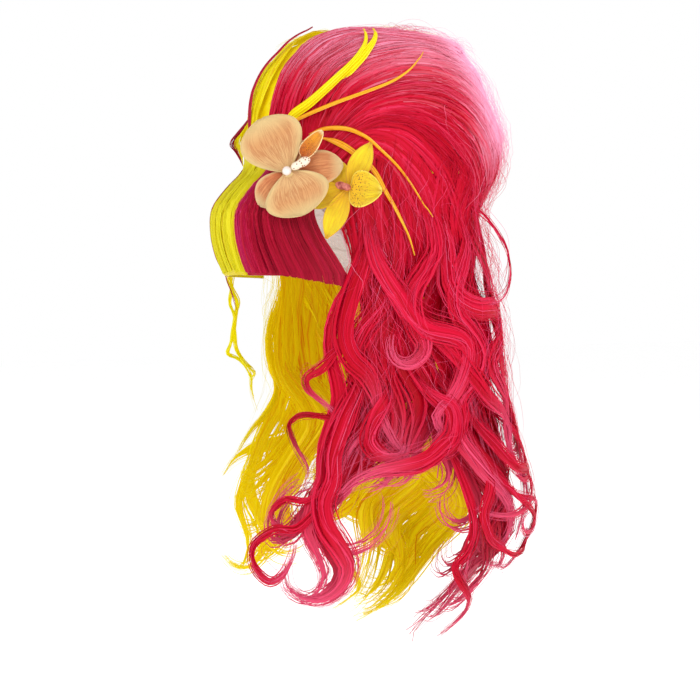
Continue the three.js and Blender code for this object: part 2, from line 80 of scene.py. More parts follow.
class Finish:
    """A material whose nodes are added one by one."""

    def __init__(self, name, **constants):
        self.material = bpy.data.materials.new(name)
        self.material.use_nodes = True
        self.tree = self.material.node_tree
        self.shader = self.tree.nodes["Principled BSDF"]
        for socket, value in constants.items():
            self.shader.inputs[socket.replace("_", " ")].default_value = value

    def node(self, kind, settings, sockets, out=0):
        made = self.tree.nodes.new(kind)
        for key, value in settings.items():
            if key == "stops":
                while len(made.color_ramp.elements) < len(value):
                    made.color_ramp.elements.new(0.5)
                for stop, (place, colour) in zip(made.color_ramp.elements, value):
                    stop.position = place
                    stop.color = colour
            else:
                setattr(made, key, value)
        for key, value in sockets.items():
            if isinstance(value, Socket):
                self.tree.links.new(value.out, made.inputs[key])
            else:
                made.inputs[key].default_value = value
        return Socket(self, made.outputs[out])

    def mix(self, share, first, second):
        return self.node("ShaderNodeMix", {"data_type": "RGBA"}, {0: share, 6: first, 7: second}, 2)

    def step(self, value, low, high):
        limits = {"Value": value, "From Min": low, "From Max": high}
        return self.node("ShaderNodeMapRange", {"interpolation_type": "SMOOTHSTEP"}, limits)

    def noise(self, vector, scale, detail=2.0):
        return self.node("ShaderNodeTexNoise", {}, {"Vector": vector, "Scale": scale, "Detail": detail})

    def place(self, x, y, z=0.0):
        return self.node("ShaderNodeCombineXYZ", {}, {0: x, 1: y, 2: z})

    def object_place(self):
        return self.node("ShaderNodeTexCoord", {}, {}, "Object")

    def own_map(self):
        return self.node("ShaderNodeUVMap", {"uv_map": "OFBake"}, {})

    def part_of(self, vector, axis):
        return self.node("ShaderNodeSeparateXYZ", {}, {0: vector}, axis)

    def bump(self, height, distance, strength=1.0):
        sockets = {"Height": height, "Distance": distance, "Strength": strength}
        return self.node("ShaderNodeBump", {}, sockets)

    def feed(self, **links):
        for socket, value in links.items():
            self.tree.links.new(value.out, self.shader.inputs[socket.replace("_", " ")])
        return self.material


def srgb(red, green, blue):
    """A colour as it shows on a screen, as the linear colour that the shader takes."""
    shown = np.array([red, green, blue]) / 255
    linear = np.where(shown <= 0.04045, shown / 12.92, ((shown + 0.055) / 1.055) ** 2.4)
    return (*linear.tolist(), 1.0)


def read_rows(rows, at):
    """Reads a table smoothly between its rows, by its first column."""
    rows = np.asarray(rows, float)
    places, values = rows[:, 0], rows[:, 1:]
    slopes = np.gradient(values, places, axis=0)
    at = np.clip(np.asarray(at, float), places[0], places[-1])
    row = np.clip(np.searchsorted(places, at) - 1, 0, len(places) - 2)
    width = (places[row + 1] - places[row])[..., None]
    t = (at - places[row])[..., None] / width
    ease = t * t * (3 - 2 * t)
    bend = t * (1 - t) * width * ((1 - t) * slopes[row] - t * slopes[row + 1])
    return values[row] * (1 - ease) + values[row + 1] * ease + bend


def unit(vectors):
    return vectors / np.maximum(np.linalg.norm(vectors, axis=-1, keepdims=True), 1e-9)


def tubes(paths, outwards, half, thick, sides, tone, span=0.004, soft=False, along=None):
    """Oval tubes along paths in millimetres, as corners, faces, normals and a map of tone and length."""
    rows, points = paths.shape[:2]
    tangents = unit(np.gradient(paths, axis=1))
    side = unit(np.cross(outwards, tangents))
    outward = np.cross(tangents, side)
    turn = np.arange(sides) / sides * 2 * np.pi + np.pi / 2
    half = np.broadcast_to(half, (rows, points))[..., None, None]
    thick = np.broadcast_to(thick, (rows, points))[..., None, None]
    across = half * np.cos(turn)[:, None] * side[:, :, None]
    corners = paths[:, :, None] + across + thick * np.sin(turn)[:, None] * outward[:, :, None]
    ring = np.arange(rows * points * sides).reshape(rows, points, sides)
    nxt = np.roll(ring, -1, axis=2)
    walls = np.stack([ring[:, :-1], nxt[:, :-1], nxt[:, 1:], ring[:, 1:]], -1).reshape(-1, 4)
    ends = np.concatenate([ring[:, 0, ::-1], ring[:, -1]])
    normals = np.zeros((walls.size + ends.size, 3))
    if soft:
        facing = np.sign(np.sin(turn + np.pi / sides))[:, None] * unit(outwards)[:, :, None]
        lean = 0.28 * np.cos(turn)[:, None] * side[:, :, None]
        left, right = unit(facing + lean), unit(facing + np.roll(lean, -1, axis=2))
        around = np.stack([left[:, :-1], right[:, :-1], right[:, 1:], left[:, 1:]], -2)
        normals[:walls.size] = around.reshape(-1, 3)
    along = np.linspace(0, 1, points) if along is None else along
    along = np.broadcast_to(np.broadcast_to(along, (rows, points))[..., None], (rows, points, sides))
    first = np.asarray(tone, float)[:, None, None] + np.arange(sides) / sides * span + 0 * along
    last = first + span / sides
    u = np.stack([first[:, :-1], last[:, :-1], last[:, 1:], first[:, 1:]], -1).reshape(-1)
    v = np.stack([along[:, :-1], along[:, :-1], along[:, 1:], along[:, 1:]], -1).reshape(-1)
    end_u = np.concatenate([first[:, 0, ::-1], first[:, -1]]).reshape(-1)
    end_v = np.concatenate([along[:, 0, ::-1], along[:, -1]]).reshape(-1)
    return {
        "corners": corners.reshape(-1, 3) / 1000,
        "faces": [walls, ends],
        "normals": normals,
        "map": np.stack([np.concatenate([u, end_u]), np.concatenate([v, end_v])], -1),
    }


def joined_piece(name, parts, material):
    """One object from many small parts."""
    corners, loops, sizes, maps, normals = [], [], [], [], []
    count = 0
    for part in parts:
        for faces in part["faces"]:
            loops.append((faces + count).reshape(-1))
            sizes.append(np.full(len(faces), faces.shape[1]))
        corners.append(part["corners"])
        maps.append(part["map"])
        normals.append(part["normals"])
        count += len(part["corners"])
    corners, loops, sizes = np.concatenate(corners), np.concatenate(loops), np.concatenate(sizes)
    mesh = bpy.data.meshes.new(name)
    mesh.vertices.add(len(corners))
    mesh.vertices.foreach_set("co", corners.astype(np.float32).reshape(-1))
    mesh.loops.add(len(loops))
    mesh.loops.foreach_set("vertex_index", loops.astype(np.int32))
    mesh.polygons.add(len(sizes))
    mesh.polygons.foreach_set("loop_start", (np.cumsum(sizes) - sizes).astype(np.int32))
    mesh.update(calc_edges=True)
    layer = mesh.uv_layers.new(name="OFBake")
    layer.uv.foreach_set("vector", np.concatenate(maps).astype(np.float32).reshape(-1))
    mesh.shade_smooth()
    normals = np.concatenate(normals)
    if normals.any():
        mesh.normals_split_custom_set(normals)
    mesh.materials.append(material)
    piece = bpy.data.objects.new(name, mesh)
    bpy.context.scene.collection.objects.link(piece)
    return piece


def shaped_piece(name, body, material):
    """One smooth object from a bmesh."""
    mesh = bpy.data.meshes.new(name)
    body.to_mesh(mesh)
    body.free()
    mesh.shade_smooth()
    mesh.materials.append(material)
    piece = bpy.data.objects.new(name, mesh)
    bpy.context.scene.collection.objects.link(piece)
    return piece


def stands_for(piece, node, slot):
    """Fixes a piece to the wig in place of a solid, which it hides; the slot is not used."""
    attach(piece, "root")
    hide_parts(node)


HEAD = np.array([76.0, 96.0, 100.0])
CAP_WALL = 2.0
CAP_RIM = [[0, -30], [60, -26], [76, -52], [96, -102], [125, -106], [180, -140]]
NET_INSET = 0.3
NET_THICK = 0.0014
NET_SCALE = 420.0
# The net and its tapes glow faintly in a pale colour: painted light that brightens the shaded inside of the
# cap.
CAP_PAINTED_LIGHT_COLOUR = srgb(246, 236, 230)
CAP_PAINTED_LIGHT_STRENGTH = 0.18
# Tapes round the cap, by how far each lies from its top to its rim: the wefts, then the elastic.
WEFT_ROWS = [0.3, 0.46, 0.6, 0.73, 0.85]
ELASTIC_ROW = 0.985
WEFT_HALF, ELASTIC_HALF = 2.2, 4.0
TAPE_POINTS = 97


def cap_point(turn, reach, grow):
    """A point of the cap: turn goes round the head from the brow, reach from its top to the rim."""
    rim = read_rows(CAP_RIM, np.abs(np.degrees(turn)))[..., 0]
    drop = reach * np.arccos((rim + HEAD[2]) / HEAD[2])
    round_head = np.stack([np.sin(drop) * np.sin(turn), -np.sin(drop) * np.cos(turn), np.cos(drop)], -1)
    return round_head * (HEAD + grow) - [0, 0, HEAD[2]]


net = Finish("cap_net", Roughness=0.85, Emission_Color=CAP_PAINTED_LIGHT_COLOUR, Emission_Strength=CAP_PAINTED_LIGHT_STRENGTH)
spot = net.object_place()
mesh_holes = net.node(
    "ShaderNodeTexVoronoi", {"feature": "DISTANCE_TO_EDGE"}, {"Vector": spot, "Scale": NET_SCALE}
)
hole = net.step(mesh_holes, 0.05, 0.14)
worn = net.noise(spot, 60.0)
thread = net.mix(worn, srgb(244, 236, 230), srgb(250, 244, 240))
net.feed(
    Base_Color=net.mix(hole, thread, srgb(238, 227, 220)),
    Roughness=0.75 + 0.2 * hole,
    Normal=net.bump(1 - hole, 0.0008),
)

shell = bmesh.new()
bmesh.ops.create_uvsphere(shell, u_segments=72, v_segments=48, radius=1.0)
low_half = [v for v in shell.verts if v.co.z < -0.01]
bmesh.ops.delete(shell, geom=low_half, context="VERTS")
for corner in shell.verts:
    turn = math.atan2(corner.co.x, -corner.co.y)
    reach = math.acos(min(1.0, corner.co.z)) / (math.pi / 2)
    corner.co = Vector(cap_point(np.array(turn), reach, CAP_WALL - NET_INSET)) / 1000
bmesh.ops.recalc_face_normals(shell, faces=shell.faces)
cap = shaped_piece("cap_shell", shell, net.material)
wall = cap.modifiers.new("wall", "SOLIDIFY")
wall.thickness = NET_THICK
wall.offset = -1
stands_for(cap, "wig_cap", "cap_net")

tape = Finish("cap_tape", Roughness=0.8, Emission_Color=CAP_PAINTED_LIGHT_COLOUR, Emission_Strength=CAP_PAINTED_LIGHT_STRENGTH)
tape_map = tape.own_map()
ribs = tape.noise(tape.place(tape.part_of(tape_map, 0) * 900.0, tape.part_of(tape_map, 1) * 600.0), 1.0)
tape.feed(
    Base_Color=tape.mix(ribs, srgb(234, 222, 214), srgb(248, 240, 236)),
    Normal=tape.bump(ribs, 0.0006),
)
round_cap = np.linspace(-math.pi, math.pi, TAPE_POINTS)
tape_rows = np.array([*WEFT_ROWS, ELASTIC_ROW])[:, None]
tape_paths = cap_point(np.broadcast_to(round_cap, (len(tape_rows), TAPE_POINTS)), tape_rows, -0.6)
tape_half = np.where(tape_rows == ELASTIC_ROW, ELASTIC_HALF, WEFT_HALF)
tape_out = unit(tape_paths + [0, 0, HEAD[2]])
tape_piece = joined_piece(
    "cap_tapes",
    [tubes(tape_paths, tape_out, tape_half, 0.7, 6, np.linspace(0.1, 0.9, len(tape_rows)), 0.1)],
    tape.material,
)
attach(tape_piece, "root")


# Hair: synthetic fibre, dyed pink on the left side and yellow on the right, waved in steam and brushed out.
# The crown hair is sewn to the cap's side and back wefts and covers the head down to the ears.
# Outer form of the hair by height: half width, front, back, squareness of the plan.
HAIR = [
    [-500, 112, -60, 128, 3], [-450, 130, -118, 178, 3], [-415, 140, -122, 206, 3], [-372, 146, -112, 228, 3],
    [-316, 140, -80, 217, 3], [-243, 116, -46, 204, 3], [-168, 112, -42, 195, 3], [-81, 112, -42, 174, 2.8],
    [-43, 110, -52, 172, 2.6], [2, 112, -74, 203, 2.4], [38, 113, -74, 211, 2.3], [81, 106, -65, 194, 2.3],
    [124, 86, -41, 172, 2.3], [149, 55, -11, 141, 2.3], [157, 30, 10, 95, 2.2], [160, 6, 30, 56, 2],
]
SPLIT_X = 10.0
SPLIT_SLOPE = 0.06
chance = np.random.default_rng(7)


def rounded(value, square):
    return np.sign(value) * np.abs(value) ** (2 / square)


def smooth(value, low, high):
    t = np.clip((value - low) / (high - low), 0, 1)
    return t * t * (3 - 2 * t)


def outer_point(angle, z):
    """A point of the hair's outer form: angle 0 is the brow, 90 the wearer's left and 180 the nape."""
    angle, z = np.broadcast_arrays(np.asarray(angle, float), np.asarray(z, float))
    turn = np.radians(angle)
    half, front, back, square = np.moveaxis(read_rows(HAIR, z), -1, 0)
    x = half * rounded(np.sin(turn), square)
    y = (front + back) / 2 - (back - front) / 2 * rounded(np.cos(turn), square)
    return np.stack([x, y, z], -1)


def outer_normal(angle, z):
    z = np.clip(z, HAIR[0][0] + 2, HAIR[-1][0] - 2)
    around = outer_point(angle + 2, z) - outer_point(angle - 2, z)
    return unit(np.cross(around, outer_point(angle, z + 2) - outer_point(angle, z - 2)))


def degree(angle, z):
    """How far a degree reaches round the outer form."""
    return np.linalg.norm(outer_point(angle + 0.5, z) - outer_point(angle - 0.5, z), axis=-1)


def level(vectors):
    return unit(vectors * [1, 1, 0])


def lerp(first, second, share):
    return first + (second - first) * share


def hair_core(node, inset, along=None):
    """The hair's body under its strands: a copy of the node's solid, drawn in."""
    body = bmesh.new()
    body.from_mesh(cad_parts[node].data)
    bmesh.ops.remove_doubles(body, verts=body.verts, dist=1e-5)
    bmesh.ops.triangulate(body, faces=body.faces)
    body.normal_update()
    corners = np.array([corner.co - corner.normal * inset / 1000 for corner in body.verts])
    faces = np.array([[corner.index for corner in face.verts] for face in body.faces])
    body.free()
    angle = np.arctan2(corners[:, 0], -corners[:, 1])[faces]
    apart = np.angle(np.exp(1j * (angle - angle[:, :1])))
    u = 0.62 + 0.06 * chance.random(len(faces))[:, None] + np.clip(apart * 0.2, -0.04, 0.04)
    heights = corners[:, 2]
    v = ((heights.max() - heights) / np.ptp(heights) if along is None else along(corners * 1000))[faces]
    return {
        "corners": corners, "faces": [faces], "normals": np.zeros((faces.size, 3)),
        "map": np.stack([u.reshape(-1), v.reshape(-1)], -1),
    }


# How fine the streaks and ripples of a fibre are, across it and along it.
STREAK_FINE = (420.0, 2.2)
RIPPLE_FINE = (60.0, 14.0)


def hair_finish(name, tones, root, tip, rough, painted_glow, pale=(0.7, 0.3)):
    """Hair by its map: length runs along it; across is a strand's tone, or past a half a ribbon's streaks."""
    # The hair glows faintly in its own colour: painted light that lifts its shaded parts.
    hair = Finish(name, IOR=1.5, Specular_IOR_Level=0.1, Emission_Strength=painted_glow)
    strand = hair.own_map()
    across, along = hair.part_of(strand, 0), hair.part_of(strand, 1)
    streak = hair.noise(hair.place(across * STREAK_FINE[0], along * STREAK_FINE[1]), 1.0, 3.0)
    ripple = hair.noise(hair.place(across * RIPPLE_FINE[0], along * RIPPLE_FINE[1]), 1.0, 2.0)
    ribbon = across > 0.5
    strand_tone = across * 2.04 + (ripple - 0.5) * 0.12
    ribbon_tone = across * 2.0 - 1.0 + (streak - 0.5) * 0.9
    tone = strand_tone * (1 - ribbon) + ribbon_tone * ribbon
    colour = hair.node("ShaderNodeValToRGB", {"stops": tones}, {0: tone})
    rooted = hair.mix(hair.step(along, 0.25, 0.0) * 0.4, colour, root)
    tipped = hair.mix(hair.step(along, pale[0], 1.0) * pale[1], rooted, tip)
    hair.feed(
        Base_Color=tipped,
        Emission_Color=tipped,
        Roughness=rough + 0.14 * ripple,
        Normal=hair.bump(streak, 0.0005, 0.35),
    )
    return hair.material


pink_tones = [
    (0.0, srgb(150, 0, 14)), (0.25, srgb(185, 0, 29)), (0.5, srgb(209, 12, 54)),
    (0.75, srgb(232, 72, 116)), (1.0, srgb(246, 158, 190)),
]
yellow_tones = [
    (0.0, srgb(204, 126, 6)), (0.14, srgb(215, 184, 6)), (0.5, srgb(225, 212, 10)),
    (0.75, srgb(230, 220, 18)), (1.0, srgb(240, 232, 90)),
]
# Each hair finish's glow, here and below, is painted light; the yellow's is the strongest, to brighten its
# shaded far side.
hair_pink = hair_finish(
    "hair_pink", pink_tones, srgb(176, 4, 32), srgb(240, 108, 150), 0.34, 0.07, (0.55, 0.55)
)
hair_yellow = hair_finish("hair_yellow", yellow_tones, srgb(216, 184, 6), srgb(232, 222, 30), 0.34, 0.29)


def strand_map(tone):
    return np.clip(tone, 0.02, 0.98) * 0.485


def ribbon_map(tone):
    return 0.505 + np.clip(tone, 0.02, 0.9) * 0.5


def wander(rows, points, bends, size):
    """A smooth random drift along each strand."""
    knots = chance.normal(0, 1, (rows, bends + 3))
    at = np.linspace(0.5, bends + 1.5, points)
    base = at.astype(int)
    t = smooth(at - base, 0, 1)
    return size * (knots[:, base] * (1 - t) + knots[:, base + 1] * t)


def taper(points, root, tip, size):
    """Half width of a strand from its root to its fine tip."""
    along = np.linspace(0, 1, points)
    return size * lerp(root, 1, smooth(along, 0, 0.15)) * lerp(1, tip, smooth(along, 0.65, 1.0))


def fine_strands(paths, out, size, tone, tip=0.25, along=None):
    half = taper(paths.shape[1], 0.3, tip, size[:, None])
    return tubes(paths, out, half, half * 0.8, 3, strand_map(tone), soft=True, along=along)


def bands(paths, out, size, tone, tip=0.2, along=None):
    half = taper(paths.shape[1], 0.12, tip, size[:, None])
    return tubes(paths, out, half, 0.15 + half * 0.14, 3, ribbon_map(tone), 0.02, soft=True, along=along)


CROWN_POINTS = 11
CROWN_FACE = -31.5
CROWN_TUCK = 9.0
CROWN_SHARE = 0.6


def crown_strands(low_angle, high_angle, count, width, lifts, make):
    """Strands that hang from under the beehive, with their ends tucked in below the curls' roots."""
    angle = chance.uniform(low_angle, high_angle, count)[:, None]
    top = chance.uniform(6, 24, count)[:, None]
    bottom = chance.uniform(-104, -70, count)[:, None]
    run = np.linspace(0, 1, CROWN_POINTS)
    z = lerp(top, bottom, run)
    angle = angle + wander(count, CROWN_POINTS, 2, 1.2)
    out = level(outer_normal(angle, z))
    lift = chance.uniform(*lifts, count)[:, None] + wander(count, CROWN_POINTS, 2, 0.4)
    lift = lift - CROWN_TUCK * smooth(run, 0.65, 1.0)
    paths = outer_point(angle, z) + out * lift[..., None]
    paths[..., 1] = np.maximum(paths[..., 1], CROWN_FACE + 0.3 * lift)
    size = chance.uniform(*width, count)
    tone = 0.3 + chance.normal(0, 0.08, count)
    return make(paths, out, size, tone, along=run * CROWN_SHARE)


for side, angles, material in (
    ("pink", (42, 183), hair_pink),
    ("yellow", (177, 318), hair_yellow),
):
    crown = joined_piece(
        "crown_strands_" + side,
        [
            hair_core("crown_hair_" + side, 4.0),
            crown_strands(*angles, 260, (1.2, 2.8), (-3.5, 0.4), bands),
            crown_strands(*angles, 100, (0.3, 0.42), (-1.0, 0.8), fine_strands),
        ],
        material,
    )
    stands_for(crown, "crown_hair_" + side, "hair_" + side)


# Hanging curls: long wefts sewn round the cap's sides and nape, set on rollers into open S waves.
# Below the shoulder they part into curls whose tails wind up to one side, with loose strands between.
ROOT_Z = -206.0
WAVE_BY = 0.45
FLATNESS = 0.72
TIP_SHARE = 0.3
LOWEST = -502.0
# The columns of a lock: its angle round the head, swing, height where its tail starts, wave, phase,
# half width, inset, length of tail and curl.
ANGLE, SWING, LOW, WAVE, PHASE, HALF, INSET, TAIL, CURL = range(9)
# Each bunch: its finish, colour, angles, length of wave and locks.
BUNCHES = {
    "left_front": (hair_pink, "pink", (54, 74), 150, [
        [58, -16, -352, 15, 250, 13, 12, 130, -290], [64, -10, -410, 24, 306, 18, 16, 110, -170],
        [70, -6, -320, 16, 330, 14, 28, 60, -120],
    ]),
    "left_side": (hair_pink, "pink", (74, 100), 128, [
        [81, 0, -294, 15, 350, 15, 4, 56, -100], [86, 1, -284, 15, 20, 15, 6, 70, -110],
        [91, 3, -300, 15, 40, 15, 14, 60, -100],
    ]),
    "left_back": (hair_pink, "pink", (100, 180), 126, [
        [112, 2, -372, 20, 50, 17, 16, 90, 200], [128, 2, -420, 22, 90, 18, 18, 90, -130],
        [145, 2, -440, 22, 120, 18, 18, 100, -110], [163, 0, -405, 20, 150, 18, 18, 90, 170],
    ]),
    "right_back": (hair_yellow, "yellow", (180, 260), 126, [
        [197, 0, -440, 20, 210, 18, 18, 96, 100], [218, -2, -420, 22, 240, 18, 18, 90, 120],
        [236, -2, -396, 22, 270, 18, 18, 90, -150], [253, -2, -360, 22, 300, 17, 16, 90, 180],
    ]),
    "right_side": (hair_yellow, "yellow", (260, 286), 128, [
        [269, -3, -300, 15, 350, 15, 14, 60, 100], [274, -1, -290, 15, 20, 15, 15, 70, 110],
        [280, -2, -320, 15, 50, 15, 14, 70, 110],
    ]),
    "right_front": (hair_yellow, "yellow", (286, 306), 146, [
        [290, -12, -350, 10, 60, 14, 34, 80, 120], [298, -18, -384, 12, 90, 15, 38, 80, 130],
    ]),
}
# How much the strands of one lock differ, column by column.
STRAND_SPREAD = np.array([0.3, 1.0, 6, 1.6, 9, 0, 1.5, 5, 16])
HANG_POINTS = 28
TAIL_POINTS = 10
UNDER = 5.0


def lock_paths(lock, pitch, top):
    """Centre lines of locks, a row for each strand: they wave down, then each tail winds to one side."""
    angle0, swing, low, wave, phase, _, inset0, tail, curl = (column[:, None] for column in lock.T)
    low = np.maximum(low, LOWEST + 0.8 * tail)
    z = lerp(top[:, None], low, np.linspace(0, 1, HANG_POINTS) ** 0.75)
    share = np.clip((ROOT_Z - z) / (ROOT_Z - low), 0, 1)
    settled = smooth(share, 0, WAVE_BY)
    above = smooth(-z, 0, 150)
    angle = angle0 + swing * settled
    inset = lerp(lerp(2.0, 6.0 + UNDER, above), inset0, settled)
    turn = (ROOT_Z - z) / pitch * 2 * np.pi + np.radians(phase)
    size = wave * (0.8 * above + 0.2 * settled)
    columns = [angle], [z], [inset], [turn], [size]
    spot, height, twist = angle[:, -1:], z[:, -1:], turn[:, -1:]
    for i in range(1, TAIL_POINTS + 1):
        wound = np.radians(curl) * (i - 0.5) / TAIL_POINTS
        step = tail / TAIL_POINTS
        spot = spot + np.sin(wound) * step / degree(spot, height)
        height = height - np.cos(wound) * step
        twist = twist + step / pitch * 2 * np.pi * (1 - i / TAIL_POINTS) ** 1.5
        for column, value in zip(columns, (spot, height, inset0, twist, wave)):
            column.append(value + 0 * spot)
    angle, z, inset, turn, size = (np.concatenate(column, 1) for column in columns)
    out = level(outer_normal(angle, z))
    sideways = np.stack([-out[..., 1], out[..., 0], 0 * z], -1)
    paths = outer_point(angle, z) - out * inset[..., None] + sideways * (size * np.sin(turn))[..., None]
    return paths + out * (size * FLATNESS * (np.cos(turn) - 1) / 2)[..., None], out, z


def spread(paths, out, half, thick, loose, deep):
    """Lines spread over a lock's flat oval section, with each one's way out and its height in the section."""
    count, points = paths.shape[:2]
    tangents = unit(np.gradient(paths, axis=1))
    side = unit(np.cross(out, tangents))
    up = np.cross(tangents, side)
    around = chance.uniform(0, 2 * np.pi, count)[:, None] + wander(count, points, 2, 0.35)
    reach = chance.uniform(*deep, count)[:, None]
    across, over = np.cos(around) * reach, np.sin(around) * reach
    fan = chance.normal(0, 1, count)[:, None] * smooth(np.linspace(0, 1, points), 0.6, 1.0) * loose * 9
    drift = half * across + fan + wander(count, points, 6, 0.3 + loose * 2)
    lines = paths + side * drift[..., None] + up * (thick * over)[..., None]
    facing = side * (across * thick)[..., None] + up * (over * half)[..., None]
    return lines, unit(facing + out * half[..., None] * 0.5), over.mean(1)


def hung_lines(lock, pitch, slot_half, tops, count, loose, deep):
    """Lines of a lock that hangs in even waves."""
    points = HANG_POINTS + TAIL_POINTS
    clump = chance.integers(0, max(2, count // 6), count)
    clumped = chance.normal(0, 1, (count + 1, len(lock)))[clump] * 0.7
    clumped = clumped + chance.normal(0, 1, (count, len(lock))) * 0.7
    rows = np.repeat([lock], count, 0).astype(float)
    rows += clumped * STRAND_SPREAD * (0.5 + loose)
    paths, out, z = lock_paths(rows, pitch, chance.uniform(*tops, count))
    settled = smooth(ROOT_Z - z, -60, 50)
    drawn = lerp(1, TIP_SHARE, smooth(np.linspace(0, 1, points), 0.6, 1.0))
    half = lerp(slot_half, lock[HALF], settled) * drawn
    thick = lerp(3.0, lock[HALF] * FLATNESS * 0.6, settled) * drawn
    return *spread(paths, out, half, thick, loose, deep), half


def curl_lines(half, lift, bulge, stations, count, loose, deep):
    """Lines of a curl that follows stations of angle and height over the hair, lifted and bulging out."""
    rows = np.concatenate([np.arange(len(stations))[:, None], stations], 1)
    ends = (len(stations) - 1) * (1 - np.abs(chance.normal(0, 0.03 + loose * 0.1, count)))
    run = np.linspace(0, 1, CURL_POINTS)
    angle, z = np.moveaxis(read_rows(rows, ends[:, None] * run), -1, 0)
    angle = angle + wander(count, CURL_POINTS, 3, 0.7 + loose * 5) / degree(angle, z)
    z = np.maximum(z + wander(count, CURL_POINTS, 3, 0.6 + loose * 4), LOWEST)
    out = level(outer_normal(angle, z))
    rise = lift + bulge * np.sin(np.pi * run) - 11 * smooth(run, 0.2, 0.0)
    paths = outer_point(angle, z) + out * (rise + wander(count, CURL_POINTS, 3, 0.3 + loose * 3))[..., None]
    drawn = lerp(0.4, 1, smooth(run, 0, 0.25)) * lerp(1, TIP_SHARE, smooth(run, 0.55, 1.0))
    half = half * np.broadcast_to(drawn, (count, CURL_POINTS))
    return *spread(paths, out, half, 0.2 * half, loose, deep), half


def lock_parts(lines, tone, broad, fine, width):
    """One lock: a flat body, bands of fibre over it, fine strands and a few that have come loose."""
    paths, way, _, half = lines(1, 0.0, (0.0, 0.0))
    run = np.linspace(0, 1, paths.shape[1])
    half = 0.62 * half * smooth(run, 0.0, 0.2) * smooth(run, 1.0, 0.72)
    # The body is set darker than the strands over it, and the bands and fine strands grow lighter with their
    # height in the section: painted shade inside the lock and a painted highlight on its crest.
    body = tubes(paths, way, half, 0.1 + 0.14 * half, 8, ribbon_map(np.array([tone - 0.1])), 0.06, soft=True)
    paths, way, over, _ = lines(broad, 0.16, (0.5, 1.15))
    size = chance.uniform(*width, broad)
    wide = bands(paths, way, size, tone + 0.08 * over + chance.normal(0, 0.06, broad))
    paths, way, over, _ = lines(fine, 0.24, (0.6, 1.35))
    size = chance.uniform(0.22, 0.42, fine)
    outer = fine_strands(paths, way, size, tone + 0.16 * over + chance.normal(0, 0.12, fine))
    loose = max(2, fine // 3)
    paths, way, _, _ = lines(loose, 0.9, (0.8, 1.8))
    size = chance.uniform(0.12, 0.22, loose)
    strays = fine_strands(paths, way, size, tone + 0.2 + chance.normal(0, 0.1, loose))
    return [body, wide, outer, strays]


